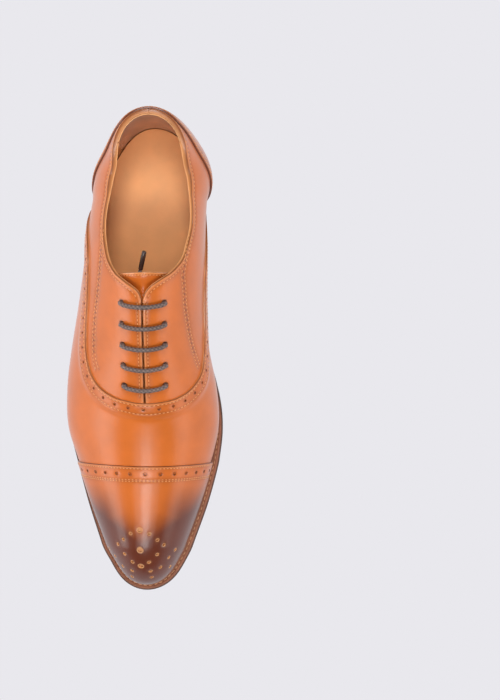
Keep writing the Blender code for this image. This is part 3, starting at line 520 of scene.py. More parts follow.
def panel(name, outline, low, high, colour, finish_, body, nodes=(), holes=(), seams=(), pitch=1.7,
          soft=0.4, edge=None, inner=None):
    """Piece of leather with thickness, cut to a closed chart outline.

    low and high give the offsets from chart places; holes are closed rings; seams are chart curves
    pressed slightly into the surface; colour takes places, points and distances to edge, seam, hole.
    """
    loop = outline[np.r_[True, np.linalg.norm(np.diff(outline, axis=0), axis=1) > 0.05]]
    if np.linalg.norm(loop[0] - loop[-1]) < 0.05:
        loop = loop[:-1]
    area = np.sum(loop[:, 0] * np.roll(loop[:, 1], -1) - np.roll(loop[:, 0], -1) * loop[:, 1])
    turned = loop if area > 0 else loop[::-1]
    taken = [loop] + list(holes)
    edge_points = at(loop)
    for distance in (0.3, 0.8):
        ring = aside(turned, distance, closed=True)
        ring = ring[inside(ring, loop)]
        clear = distance_to(at(ring), edge_points) > distance * 0.7
        taken.append(ring[clear])
    for seam in seams:
        for line in (seam, aside(seam, 0.45), aside(seam, -0.45)):
            line = line[inside(line, loop)]
            line = line[distance_to(at(line), edge_points) > 0.45]
            taken.append(thin(line, np.vstack([t for t in taken if len(t)]), 0.22))
    for hole in holes:
        middle = hole.mean(0)
        taken.append(middle + (hole - middle) * 1.45)
    fixed = np.vstack([t for t in taken if len(t)])
    x0, y0 = loop.min(0)
    x1, y1 = loop.max(0)
    xs, ys = np.arange(x0, x1, pitch), np.arange(y0, y1, pitch * 0.87)
    grid = np.array([(x + (pitch / 2 if j % 2 else 0), y) for j, y in enumerate(ys) for x in xs])
    grid = grid[inside(grid, loop)]
    grid = thin(grid, fixed, pitch * 0.55)
    places = np.vstack([fixed, grid]) if len(grid) else fixed
    edges, start = [], 0
    for ring in [loop] + list(holes):
        n = len(ring)
        edges += [(start + i, start + (i + 1) % n) for i in range(n)]
        start += n
    found = delaunay_2d_cdt([Vector(p) for p in places], edges, [], 0, 1e-5)
    xy = np.array([tuple(v) for v in found[0]])
    triangles = np.array([f for f in found[2] if len(f) == 3])
    middle = xy[triangles].mean(1)
    keep = inside(middle, loop)
    for hole in holes:
        reach = np.linalg.norm(hole - hole.mean(0), axis=1).max() * 1.2
        near = np.linalg.norm(middle - hole.mean(0), axis=1) < reach
        keep[near] &= ~inside(middle[near], hole)
    triangles = triangles[keep]
    used = np.unique(triangles)
    order = np.full(len(xy), -1)
    order[used] = np.arange(len(used))
    xy, triangles = xy[used], order[triangles]
    flat = at(xy)
    to_edge = distance_to(flat, edge_points)
    to_seam = distance_to(flat, np.vstack([at(s) for s in seams]) if seams else [])
    to_hole = distance_to(flat, np.vstack([at(h) for h in holes]) if holes else [])
    round_off = 1 - np.clip(to_edge / EDGE_ROUND, 0, 1)
    drop = soft * (1 - np.sqrt(1 - round_off**2))
    drop = drop + GROOVE_DEEP * fade(to_seam, GROOVE_WIDE) + 0.14 * (1 - smoothstep(to_hole / 0.6))
    top, bottom = at(xy, high(xy) - drop), at(xy, low(xy))
    sides = {}
    for a, b, c in triangles:
        for p, q in ((a, b), (b, c), (c, a)):
            sides[(p, q)] = sides.get((p, q), 0) + 1
    n = len(xy)
    faces = triangles.tolist() + (triangles[:, ::-1] + n).tolist()
    faces += [[int(q), int(p), int(p) + n, int(q) + n] for p, q in sides if (q, p) not in sides]
    paint = colour(xy, flat, to_edge, to_seam, to_hole)
    under = np.tile(inner if inner is not None else CALF * 0.8, (n, 1))
    if edge is not None:
        under = blend_to(under, edge, (to_edge < 0.1).astype(float))
    return make(name, np.vstack([top, bottom]), faces, finish_, body, nodes, np.vstack([paint, under]))


def bands(count, ring, start=0):
    """Quads between rings of points, each ring closed on itself."""
    return [[start + ring * k + i, start + ring * k + (i + 1) % ring,
             start + ring * (k + 1) + (i + 1) % ring, start + ring * (k + 1) + i]
            for k in range(count - 1) for i in range(ring)]


HEXAGON = [(math.cos(math.pi * m / 3), math.sin(math.pi * m / 3)) for m in range(6)]
# along the stitch, share of its thickness, lift
STITCH_RINGS = ((-0.5, 0.25, -0.25), (-0.34, 0.85, -0.02), (0.0, 1.0, 0.06), (0.34, 0.85, -0.02),
                (0.5, 0.25, -0.25))
STITCH_THICK, STITCH_SINK = 0.26, 0.1


def stitch_faces(start):
    """Faces of one stitch of five six-sided rings."""
    ends = [[start + m for m in range(6)], [start + 24 + m for m in range(6)][::-1]]
    return bands(5, 6, start) + ends


def stitches(name, rows, height, body, pitch=2.5, long=1.75):
    """Row after row of separate stitches along chart curves, lying in their grooves."""
    points, faces = [], []
    for row in rows:
        spots = even(row, pitch)
        p = at(spots, height(spots) - STITCH_SINK)
        normals, along = normal_at(spots), unit(np.gradient(p, axis=0))
        for k in range(len(spots) - 1):
            centre = (p[k] + p[k + 1]) / 2
            n, f = normals[k], along[k]
            s = unit(np.cross(n, f))
            faces += stitch_faces(len(points))
            for x, r, z in STITCH_RINGS:
                for c, q in HEXAGON:
                    points.append(centre + f * x * long + s * c * STITCH_THICK * r
                                  + n * (q * STITCH_THICK * 0.8 * r + z))
    return make(name, points, faces, THREAD, body)


# ---- outlines, as in the CAD part
WING_LATERAL = ((92, 0.10), (84, 0.21), (74, 0.31), (63, 0.38), (50, 0.42), (36, 0.44), (20, 0.455),
                (5, 0.48),
                (-7, 0.53), (-15, 0.595), (-20.5, 0.67), (-24, 0.75), (-25.1, 0.79), (-25.8, 0.83),
                (-26.8, 0.90), (-27.3, 0.95))
WING_MEDIAL = ((90, 0.10), (82, 0.16), (73, 0.225), (62, 0.30), (49, 0.355), (34, 0.365), (18, 0.36),
               (3, 0.385),
               (-9, 0.45), (-16.5, 0.54), (-21.8, 0.635), (-25, 0.73), (-25.9, 0.775), (-26.6, 0.82),
               (-27.2, 0.90), (-27.5, 0.95))
SLIT_T = 0.9925
LOWER = {
    -1: ((93.5, 0), (89, 0.07), (84, 0.14), (77, 0.22), (70, 0.28), (66, 0.302), (62, 0.32), (56, 0.338),
         (50, 0.35), (43, 0.36), (32, 0.375), (18, 0.395), (3, 0.42), (-11, 0.475), (-21, 0.555), (-28, 0.66),
         (-32, 0.79), (-34, 0.90), (-34.3, 0.985)),
    1: ((91.5, 0), (87.5, 0.045), (83, 0.085), (77, 0.14), (70, 0.19), (65.5, 0.216), (61, 0.24), (56, 0.26),
        (50, 0.277), (43, 0.29), (31, 0.305), (17, 0.305), (1, 0.325), (-13, 0.39), (-22.5, 0.495),
        (-29, 0.635),
        (-32.4, 0.78), (-34, 0.90), (-34.3, 0.985)),
}
BACK_END = HEEL_END - 0.04      # where the two quarters meet
REAR = ((133, 0.565), (140, 0.55), (147, 0.535), (153, 0.525), (160, 0.518), (BACK_END, 0.515))
TOPLINE = {
    -1: ((34, SLIT_T), (38, 0.958), (41.2, 0.893), (44, 0.825), (46.6, 0.77), (49.5, 0.72), (57, 0.64),
         (67, 0.585), (77, 0.55), (86, 0.54), (96, 0.548), (107, 0.562), (117, 0.575), (126, 0.575)) + REAR,
    1: ((34, SLIT_T), (38, 0.967), (41.5, 0.92), (44.3, 0.865), (47.3, 0.80), (50.5, 0.74), (58, 0.65),
        (68, 0.60), (77, 0.56), (86, 0.543), (96, 0.545), (107, 0.558), (117, 0.57), (126, 0.572)) + REAR,
}
COUNTER = ((97, 0.0), (101, 0.10), (107, 0.20), (116, 0.30), (127, 0.385), (138, 0.44), (147, 0.49),
           (152.5, 0.515), (158, 0.516), (163, 0.512), (HEEL_END, 0.508))


def wing_edge():
    """The vamp's wing and U edge, from the lateral rear round the tongue to the medial rear."""
    rows = [(a, -(1 - t)) for a, t in WING_LATERAL] + [(-27.5, 0.0)]
    ag = catmull(rows + [(a, 1 - t) for a, t in WING_MEDIAL[::-1]])
    return chart(ag[:, 0], np.clip(ag[:, 1], -1, 1))


WING = even(wing_edge(), 1.0)
WING_POINTS = at(WING)


def cap_line():
    g = np.linspace(-1, 1, 161)
    return chart(-67.0 - 0.6 * g, g)


def ramp(x, start, end, a, b):
    return a + (b - a) * smoothstep((x - start) / (end - start))


def vamp_top(xy):
    return ramp(distance_to(at(xy), WING_POINTS), 8.0, 12.5, 3.8, 2.5)


def vamp_under(xy):
    return ramp(distance_to(at(xy), WING_POINTS), 8.0, 12.5, 2.36, 1.2)


def quarter_top(xy):
    return ramp(unchart(xy)[0], 95.0, 105.0, 2.35, 3.45)


def constant(value):
    return lambda xy: np.full(len(xy), value)


def plain(tone):
    """One colour for a whole panel."""
    return lambda xy, *distances: np.tile(tone, (len(xy), 1))


def leather_colour(xy, flat, to_edge, to_seam, to_hole, burn=0.0, folded_highlight=0.35):
    """Tan leather: deeper at low places, a pale band along folded edges as painted highlight, painted shade
    in the grooves and round the holes, darker right at the cut edge.
    """
    g = unchart(xy)[1]
    base = np.tile(TAN, (len(xy), 1))
    base = blend_to(base, TAN_DEEP, 0.55 * smoothstep((np.abs(g) - 0.55) / 0.45))
    base = blend_to(base, BURNT, burn + 0.12 * fade(to_seam, 2.2))
    # painted shade: the stitch grooves and the rings round the punched holes are darkened
    base = blend_to(base, EDGE_DARK, 0.42 * fade(to_seam, GROOVE_WIDE) + 0.7 * fade(to_hole, 0.28))
    # painted highlight: a pale band just inside the edge, where a folded edge catches the light
    base = blend_to(base, EDGE_PALE, folded_highlight * fade(to_edge - 0.5, 0.4))
    return blend_to(base, EDGE_DARK, 0.75 * fade(to_edge, 0.18))


# ---- vamp and toe cap
def join(*parts):
    return np.vstack([even(np.asarray(p, float), 1.1) for p in parts])


def punched(line, pitch, radius):
    return [hole_ring(p, radius) for p in even(line, pitch)[1:-1]]


wing_stitch, wing_punch, wing_row = (aside(WING, -d) for d in (1.35, 3.9, 6.9))
vamp_outline = join(WING, chart((90, 92), (0.90, 1.0)), along_a(92, -75, 1.0),
                    chart(-75.0, np.linspace(1, -1, 121)), along_a(-75, 94, -1.0),
                    chart((94, 92), (-1.0, -0.90)))
panel("vamp_visual", vamp_outline, vamp_under, vamp_top, leather_colour, LEATHER, "shoe",
      ("vamp",), holes=punched(wing_punch[12:-12], 9.0, 0.85), seams=[wing_stitch[3:-3], wing_row[9:-9]])
stitches("vamp_stitches", [wing_stitch[3:-3], wing_row[9:-9]], vamp_top, "shoe")

CAP_TOP = 3.8
cap_edge = even(cap_line(), 1.0)
cap_seams = [aside(cap_edge, -d)[2:-2] for d in (1.2, 8.4, 9.5)]
cap_outline = join(cap_line(), along_a(-67.6, TOE_END, 1.0), along_a(TOE_END, -66.4, -1.0))


def plan_places(spots):
    """Chart places of the toe cap that lie over plan points (x, y) in mm."""
    a, g = np.meshgrid(np.linspace(-72, TOE_END, 260), np.linspace(-1, 1, 301), indexing="ij")
    xy = chart(a.ravel(), g.ravel())
    tree = tree_of([(x, y, 0) for x, y, _ in at(xy, 3.0)])
    return xy[[tree.find((x, y, 0))[1] for x, y in spots]]


# a plain rosette of punched holes, the same on both sides of the centre line
ROSETTE_X = -0.4
LARGE = [(0, -107.5), (0, -120.3), (0, -130.8)]
SMALL = [(5.8, -109.8), (10.2, -114.0), (14.0, -117.5), (10.0, -123.4), (5.0, -128.3), (11.5, -132.3),
         (5.7, -134.3), (6.0, -138.8), (16.5, -126.2), (20.5, -121.8), (17.0, -132.8)]
large = [hole_ring(p, 1.45, 14) for p in plan_places([(ROSETTE_X + x, y) for x, y in LARGE])]
small = [hole_ring(p, 0.95) for p in plan_places([(ROSETTE_X + s * x, y) for x, y in SMALL for s in (-1, 1)])]


def cap_colour(xy, flat, to_edge, to_seam, to_hole):
    x, y = flat[:, 0], flat[:, 1]
    across = np.abs(x - 1.0)
    tip = smoothstep((-88 - y - 0.7 * (14 - across)) / 26)
    flank = smoothstep((across - 5.0) / 21) * smoothstep((-72 - y) / 34)
    burn = np.clip(np.maximum(0.95 * tip, 0.9 * flank) + 0.15 * smoothstep((-76 - y) / 30), 0, 0.95)
    colours = leather_colour(xy, flat, to_edge, to_seam, np.full(len(xy), 9.0), burn=burn, folded_highlight=0.25)
    rosette = y < -100
    # painted shade round the punched holes outside the rosette; pale rims round the rosette's holes
    colours = blend_to(colours, EDGE_DARK, np.where(rosette, 0.0, 0.9 * fade(to_hole, 0.28)))
    return blend_to(colours, EDGE_PALE, np.where(rosette, 0.75 * fade(to_hole, 0.25), 0.0))


panel("toe_cap_visual", cap_outline, constant(2.55), constant(CAP_TOP), cap_colour, LEATHER, "shoe",
      ("toe_cap",), holes=punched(aside(cap_edge, -4.8), 9.0, 0.95) + large + small,
      seams=cap_seams, edge=EDGE_DARK)
stitches("toe_cap_stitches", cap_seams, constant(CAP_TOP), "shoe", pitch=2.2, long=1.5)

# ---- quarters, counter cover and linings
EYESTAY = {
    -1: ((76, 0.535), (64, 0.545), (52.8, 0.547), (39.4, 0.538), (26.2, 0.525), (12, 0.53), (-1, 0.550),
         (-8, 0.585)),
    1: ((72, 0.572), (60, 0.61), (49.7, 0.636), (42.3, 0.620), (31.7, 0.600), (23.5, 0.575), (10.2, 0.525),
        (-5.7, 0.455)),
}
HOLE_REACH, ROW_FIRST, ROW_STEP, ROWS = 11.2, -17.0, 12.25, 5


def hole_places(side):
    a = ROW_FIRST + ROW_STEP * np.arange(ROWS)
    return chart(a, girth_at_reach(a, side, HOLE_REACH))


def topline(side):
    return curve(TOPLINE[side], side)


def quarter_outline(side):
    slit = curve(((-33, SLIT_T), (34, SLIT_T)), side, smooth=False)
    back = curve(((BACK_END, 0.515), (BACK_END, 0.0)), side, smooth=False)
    start = LOWER[side][0][0]
    lower = curve(LOWER[side], side)
    front = curve(((-34.3, 0.985), (-33, SLIT_T)), side, smooth=False)
    return join(slit, topline(side), back, along_a(BACK_END, start, side * 1.0), lower, front)


for side, label in ((-1, "lateral"), (1, "medial")):
    top_row = aside(even(topline(side), 1.0), -side * 2.4)[2:-1]
    slit_row = aside(even(curve(((-24, SLIT_T), (34, SLIT_T)), side, smooth=False), 1.0), -side * 2.3)[:-2]
    outer = even(curve(EYESTAY[side], side), 1.0)
    between, inner_row = (aside(outer, -side * d) for d in (1.5, 3.0))
    lace_holes = [hole_ring(p, 1.85, 14) for p in hole_places(side)]
    gimping = punched(between[6:-8], 3.6, 0.28)
    panel(f"quarter_{label}_visual", quarter_outline(side), constant(0.76), quarter_top, leather_colour,
          LEATHER, "shoe", (f"quarter_{label}",), holes=lace_holes + gimping,
          seams=[top_row, slit_row, outer, inner_row])
    stitches(f"quarter_{label}_stitches", [top_row, slit_row, outer, inner_row], quarter_top, "shoe")

    a_low = np.linspace(-24, 33.4, 50)
    g_low = girth_at_reach(a_low, side, 20.6)
    top = topline(side)
    top = top[unchart(top)[0] < 138.5]
    end_g = unchart(top[-1:])[1]
    lining = join(chart(a_low, g_low), chart((33.4, 34.0), (g_low[-1], side * 0.01)), top,
                  chart(138.5, np.linspace(end_g[0], side, 40)), along_a(138.5, 30.1, side * 1.0),
                  chart(np.linspace(30.1, -24, 60), side * np.linspace(1.0, 0.47, 60)))
    panel(f"quarter_lining_{label}_visual", lining, constant(0.0), constant(0.74),
          plain(CALF), INNER, "shoe",
          (f"quarter_lining_{label}",), pitch=3.0, soft=0.15, edge=EDGE_PALE)

both = [curve(COUNTER, s) for s in (-1, 1)]
cover_edge = even(np.vstack([both[0], both[1][::-1]]), 1.0)
cover_outline = join(both[0], both[1][::-1], along_a(97, HEEL_END, 1.0), along_a(HEEL_END, 97, -1.0))
cover_rows = [aside(cover_edge, d)[4:-4] for d in (1.3, 2.9)]
COVER_TOP = 4.9


def cover_colour(xy, flat, to_edge, to_seam, to_hole):
    low = smoothstep((np.abs(unchart(xy)[1]) - 0.72) / 0.28)
    return leather_colour(xy, flat, to_edge, to_seam, to_hole, burn=0.10 + 0.35 * low, folded_highlight=0.15)


panel("heel_counter_cover_visual", cover_outline, constant(3.46), constant(COVER_TOP), cover_colour, LEATHER,
      "shoe", ("heel_counter_cover",), seams=cover_rows, edge=EDGE_DARK)
stitches("counter_stitches", cover_rows, constant(COVER_TOP), "shoe")


def rear_top(side):
    line = topline(side)
    line = line[unchart(line)[0] > 139.2]
    return np.vstack([line, chart(HEEL_END, np.array([side * 0.485]))])


rear = [rear_top(s) for s in (-1, 1)]
start_g = [unchart(r[:1])[1][0] for r in rear]
grip = join(rear[0], rear[1][::-1], chart(139.2, np.linspace(start_g[1], 0.95, 30)),
            along_a(139.2, HEEL_END, 0.95), along_a(HEEL_END, 139.2, -0.95),
            chart(139.2, np.linspace(-0.95, start_g[0], 30)))
panel("heel_grip_visual", grip, constant(0.0), constant(0.74), plain(SUEDE), NAP, "shoe",
      ("heel_grip_lining",), pitch=2.4, soft=0.15, edge=EDGE_PALE, inner=SUEDE)

# ---- tongue
TONGUE_ROWS = ((-38, 14), (-33, 15), (-27, 16.5), (-20, 17.5), (-10, 18), (0, 18.5), (10, 19), (20, 19),
               (30, 19.5),
               (38, 20), (44, 20.3), (47, 19.6), (48.6, 18.0), (49, 16.0))


def tongue_rise(xy):
    a = unchart(xy)[0]
    return 4.0 * np.clip((-27 - a) / 11.0, 0, 1) + 3.0 * smoothstep((a - 38) / 11.0)


def tongue_outline(shrink):
    rows = catmull(TONGUE_ROWS)
    sides = []
    for side in (-1, 1):
        g = np.array([girth_at_reach(a, side, r - shrink)[0] for a, r in rows])
        sides.append(chart(rows[:, 0], g))
    across = [chart(np.full(30, a), np.linspace(g0, g1, 30)) for a, g0, g1 in
              ((rows[-1, 0], unchart(sides[0][-1:])[1][0], unchart(sides[1][-1:])[1][0]),
               (rows[0, 0], unchart(sides[1][:1])[1][0], unchart(sides[0][:1])[1][0]))]
    return join(sides[0], across[0], sides[1][::-1], across[1])


shape = tongue_outline(0.0)
end_row = shape[(unchart(shape)[0] > 40)]
end_row = aside(even(end_row, 1.0), -1.7)
panel("tongue_visual", shape, lambda xy: -5.6 + tongue_rise(xy), lambda xy: -4.5 + tongue_rise(xy),
      lambda *k: leather_colour(*k, folded_highlight=0.55), LEATHER, "tongue_flap", ("tongue",),
      seams=[end_row], soft=0.25, edge=EDGE_PALE)
stitches("tongue_stitches", [end_row], lambda xy: -4.5 + tongue_rise(xy), "tongue_flap")
panel("tongue_lining_visual", tongue_outline(0.4), lambda xy: -6.4 + tongue_rise(xy),
      lambda xy: -5.62 + tongue_rise(xy), plain(CALF), INNER, "tongue_flap",
      ("tongue_lining",), pitch=3.0, soft=0.1, edge=EDGE_PALE)

# ---- lace and its tips
BAR, UNDER = 4.5, -2.7


def one(a, g, h):
    return surface(float(a), float(g), float(h))[0]


def reach_g(a, side, reach):
    return float(girth_at_reach(a, side, reach)[0])


def on_hole(row, side, heights):
    a = ROW_FIRST + ROW_STEP * row
    g = reach_g(a, side, HOLE_REACH)
    return [one(a, g, h) for h in heights]


def beside(row, side, outward, along, height):
    """Point near a hole, moved away from the slit and towards the heel, in mm."""
    a = ROW_FIRST + ROW_STEP * row + along
    return one(a, reach_g(a, side, HOLE_REACH + outward), height)


def bar(row, s):
    """From below one hole, up, across the slit with a little slack, and down the other."""
    points = on_hole(row, s, (-1.2, 0.6, 2.2, 3.3)) + [beside(row, s, -1.6, -0.1, 4.5)]
    for side, steps in ((s, ((8.0, -1.0), (2.5, -2.0))), (-s, ((2.5, -2.0), (8.0, -1.0)))):
        points += [beside(row, side, reach - HOLE_REACH, slack, BAR) for reach, slack in steps]
    return points + [beside(row, -s, -1.6, -0.1, 4.5)] + on_hole(row, -s, (3.3, 2.2, 0.6, -1.2))


def under_run(row, to_row, side, sideways):
    """Run along the inside of the facing from one hole up to another."""
    length = ROW_STEP * (to_row - row)
    points = [beside(row, side, sideways * 0.15, 1.3, UNDER)]
    count = 3 if to_row - row > 1 else 1
    for k in range(count):
        share = (k + 1) / (count + 1)
        points.append(beside(row, side, sideways * math.sin(math.pi * share) ** 0.4, length * share, UNDER))
    return points + [beside(to_row, side, sideways * 0.15, -1.3, UNDER)]


def medial_tail():
    first = [beside(4, 1, *step, UNDER) for step in ((1.4, 0.1), (4.0, 0.6), (8.0, 1.2))]
    wall = [one(34.0, 1 - 0.54, -2.7), one(35.0, 1 - 0.49, -4.2), one(37.0, 1 - 0.455, -9.5)]
    free = [np.array(p) + TO_ORIGIN for p in ((14.5, 40.0, 61.5), (8.0, 42.0, 68.0), (3.0, 45.2, 75.0))]
    start, tip = np.array((1.9, 51.4, 79.5)) + TO_ORIGIN, np.array((4.6, 62.6, 84.0)) + TO_ORIGIN
    return first + wall + free + [start - (tip - start) * 0.25, start], tip


def lateral_tail():
    first = [beside(3, -1, *step, UNDER) for step in ((1.4, -0.1), (4.0, -0.5), (7.5, -1.5))]
    wall = [one(17.0, -(1 - 0.54), -2.7), one(12.5, -(1 - 0.47), -3.2), one(5.0, -(1 - 0.41), -3.2),
            one(-3.0, -(1 - 0.388), -3.2)]
    start, tip = one(-9.0, -(1 - 0.38), -3.2), one(-21.0, -(1 - 0.37), -3.4)
    return first + wall + [start - (tip - start) * 0.12, start], tip


def lace_route():
    tail_a, tip_a = lateral_tail()
    tail_b, tip_b = medial_tail()
    route = tail_a[::-1] + bar(3, -1) + under_run(1, 3, 1, -3.3)[::-1] + bar(1, 1)
    route += under_run(0, 1, -1, 0.0)[::-1] + bar(0, -1) + under_run(0, 2, 1, 3.3) + bar(2, 1)
    route += under_run(2, 4, -1, -3.3) + bar(4, -1) + tail_b
    return route, tip_a, tip_b


def tube(name, path, radius, sides, finish_, nodes, relief=0.0, step=0.45):
    """Closed round tube along a smooth path; relief gives the braid's ribs, and with it the paint is lighter
    on the ribs as painted highlight and darker between them as painted shade.
    """
    fine = catmull(path, 10)
    run = lengths(fine)
    marks = np.linspace(0, run[-1], int(run[-1] / step) + 1)
    p = np.stack([np.interp(marks, run, fine[:, k]) for k in range(3)], -1)
    along = unit(np.gradient(p, axis=0))
    u = unit(np.cross(along[0], (0.3, 0.2, 1.0)))
    points, paint = [], []
    for k in range(len(p)):
        u = unit(u - along[k] * np.dot(u, along[k]))
        v = np.cross(along[k], u)
        end = min(k, len(p) - 1 - k)
        r = radius * (0.75 if end == 0 else 0.93 if end == 1 else 1.0)
        for m in range(sides):
            turn = 2 * math.pi * m / sides
            rib = (math.cos(3 * turn - marks[k] * 2.6) + math.cos(3 * turn + marks[k] * 2.6)) / 2
            points.append(p[k] + (u * math.cos(turn) + v * math.sin(turn)) * (r + 2 * relief * rib))
            # with relief, painted highlight on the raised strands and painted shade between them
            paint.append(CORD_TONE * (0.75 + 0.55 * rib if relief else 1.0))
    faces = bands(len(p), sides) + [list(range(sides)), [len(points) - 1 - m for m in range(sides)]]
    return make(name, np.array(points), faces, finish_, "shoe", nodes, paint, angle=80.0)


route, tip_a, tip_b = lace_route()
tube("lace_visual", route, 1.32, 16, CORD, ("lace",), relief=0.08)
for name, start, tip in (("aglet_1", route[0], tip_a), ("aglet_2", route[-1], tip_b)):
    way = unit(tip - start)
    steps = (0.25, 3.0, 6.0, 9.0, np.linalg.norm(tip - start))
    tube(name + "_visual", [start + way * d for d in steps], 1.42, 16, TIP, (name,), step=0.5)

# ---- welt, rand, sole and heel
WELT_THICK, OUTSOLE_THICK, HEEL_BREAST, TOP_PIECE, LIFTS = 3.0, 4.6, 86.0, 6.5, 3
SEAT = WELT_THICK + TOUCH + OUTSOLE_THICK
RIM_REACH, WAIST_DRAW = 5.6, 1.2        # sole beyond the feather edge, and how much less behind the waist
WIDER_A = (TOE_END, TOE_A, -93.0, -67.0, -45.0, -21.0)
WIDER = {-1: (4.2, 3.3, 2.5, 1.2, 0.0, 0.0), 1: (4.2, 4.1, 4.2, 3.7, 1.4, 0.0)}


def sole_reach(a, side):
    """How far the sole's edge stands outside the feather edge: more round the toe, less at the waist."""
    return RIM_REACH - WAIST_DRAW * np.clip((a + 25.0) / 50.0, 0, 1) + np.interp(a, WIDER_A, WIDER[side])


def edge_places(a, side, far):
    """Plan points far mm outside the feather edge, for arrays of a."""
    sides = np.full(len(a), float(side))
    x, y, dx, dy, section = section_at(a, sides)
    a0, a1 = np.maximum(a - 0.3, TOE_END), np.minimum(a + 0.3, HEEL_END)
    zero = np.zeros(len(a))
    along = (last_point(a1, sides, zero) - last_point(a0, sides, zero))[:, :2]
    normal = unit(np.stack([along[:, 1], -along[:, 0]], -1)) * side
    ends = (a < TOE_END + 1e-6) | (a > HEEL_END - 1e-6)
    normal[ends] = np.stack([dx, dy], -1)[ends]
    far = np.broadcast_to(far, len(a))
    return np.stack([x + dx * section[:, 0] + normal[:, 0] * far,
                     y + dy * section[:, 0] + normal[:, 1] * far], -1) + TO_ORIGIN[:2]


def round_end(a, reach):
    """Plan line round one end of the shoe; a reach over 0 follows the sole's edge."""
    lateral, medial = (edge_places(a, s, sole_reach(a, s) + reach - RIM_REACH if reach > 0 else reach)
                       for s in (-1, 1))
    return np.vstack([lateral, medial[-2::-1]])


def swept(node, a):
    """Welt or rand: WELT_PROFILE taken round one end of the shoe."""
    rounds = []
    for reach, depth in WELT_PROFILE:
        line = round_end(a, reach)
        rounds.append(np.c_[line, feather_z(line[:, 1] - TO_ORIGIN[1]) - depth + TO_ORIGIN[2]])
    points = np.stack(rounds, 1)
    n, k = points.shape[:2]
    faces = [[i * k + j, (i + 1) * k + j, (i + 1) * k + (j + 1) % k, i * k + (j + 1) % k]
             for i in range(n - 1) for j in range(k)]
    faces += [list(range(k)), [(n - 1) * k + j for j in range(k)]]
    paint = np.tile(np.array([welt_tone(r, d) for r, d in WELT_PROFILE]), (n, 1))
    return make(node + "_visual", points.reshape(-1, 3), faces, WELT, "shoe", (node,), paint)


def welt_tone(reach, depth):
    """Brown on top, stained dark on the rim."""
    return linear(148, 90, 62) if depth < 0.5 and reach < 5.0 else linear(74, 44, 32)


# reach beyond the feather edge and depth below it; the groove is at 2.6
WELT_PROFILE = ((-4.4, 0.05), (0.3, 0.0), (2.2, 0.0), (2.6, 0.3), (3.0, 0.0), (4.3, 0.0), (5.1, 0.12),
                (5.5, 0.45), (5.6, 1.0), (5.6, 2.2), (5.45, 2.75), (5.2, 3.05), (-4.4, 3.05))
front_a = np.r_[np.linspace(HEEL_BREAST, TOE_A, 120), np.linspace(TOE_A, TOE_END, 60)[1:]]
rear_a = np.r_[np.linspace(HEEL_BREAST + 0.15, HEEL_A, 24), np.linspace(HEEL_A, HEEL_END, 60)[1:]]
swept("welt", front_a)
swept("rand", rear_a)
GROOVE_REACH, GROOVE_DEPTH, WELT_PITCH = 2.6, 0.12, 3.4


def ground_stitches(name, a):
    """Stitches that lie in the welt's groove."""
    line = round_end(a, GROOVE_REACH)
    run = lengths(line)
    points, faces = [], []
    for mark in np.arange(2.0, run[-1] - 2.0, WELT_PITCH):
        ends = []
        for offset in (-0.36 * WELT_PITCH, 0.0, 0.36 * WELT_PITCH):
            x, y = (np.interp(mark + offset, run, line[:, k]) for k in (0, 1))
            ends.append(np.array([x, y, feather_z(y - TO_ORIGIN[1]) - GROOVE_DEPTH + TO_ORIGIN[2]]))
        along = unit(ends[2] - ends[0])
        across = unit(np.cross((0, 0, 1.0), along))
        faces += stitch_faces(len(points))
        first, middle, last = ends
        for place, r, z in ((first, 0.5, -0.15), (first * 0.5 + middle * 0.5, 1.0, 0.05), (middle, 1.0, 0.12),
                            (last * 0.5 + middle * 0.5, 1.0, 0.05), (last, 0.5, -0.15)):
            for c, q in HEXAGON:
                points.append(place + across * c * 0.36 * r + np.array([0, 0, q * 0.3 * r + z]))
    return make(name, np.array(points), faces, PALE_THREAD, "shoe")


ground_stitches("welt_stitches", front_a)
ground_stitches("rand_stitches", rear_a)


def stack(name, a, levels, finish_, nodes, colours, rim_reach=sole_reach):
    """Solid from closed plan outlines, one above another: levels are (inset, height of y)."""
    rounds = []
    for inset, height in levels:
        lateral, medial = (edge_places(a, s, rim_reach(a, s) - inset) for s in (-1, 1))
        line = np.vstack([lateral, medial[::-1]])
        rounds.append(np.c_[line, height(line[:, 1] - TO_ORIGIN[1]) + TO_ORIGIN[2]])
    n = len(a)
    points = np.vstack(rounds)
    ring = 2 * n
    faces = bands(len(levels), ring)
    for level in (0, len(levels) - 1):
        s = level * ring
        faces += [[s + i, s + i + 1, s + ring - 2 - i, s + ring - 1 - i] for i in range(n - 1)]
    paint = np.repeat(np.array(colours), ring, axis=0)
    made = make(name, points, faces, finish_, "shoe", nodes, paint)
    rework(made.data, weld=True)
    made.data.set_sharp_from_angle(angle=math.radians(50))


def under(depth):
    return lambda y: feather_z(y) - depth


def level(z):
    return lambda y: np.full(len(y), float(z))


whole_a = np.r_[np.linspace(TOE_END, TOE_A, 40), np.linspace(TOE_A, HEEL_A, 110)[1:-1],
                np.linspace(HEEL_A, HEEL_END, 40)]
DARK, BOTTOM = linear(66, 42, 32), linear(176, 128, 88)
stack("outsole_visual", whole_a,
      [(4.0, under(3.1)), (0.5, under(3.1)), (0.1, under(3.35)), (0.0, under(3.8)), (0.0, under(SEAT - 0.8)),
       (0.15, under(SEAT - 0.3)), (0.55, under(SEAT)), (3.6, under(SEAT)), (3.8, under(SEAT - 0.25)),
       (4.1, under(SEAT))],
      SOLE, ("outsole",), [DARK] * 7 + [BOTTOM * 0.8, BOTTOM * 0.35, BOTTOM])

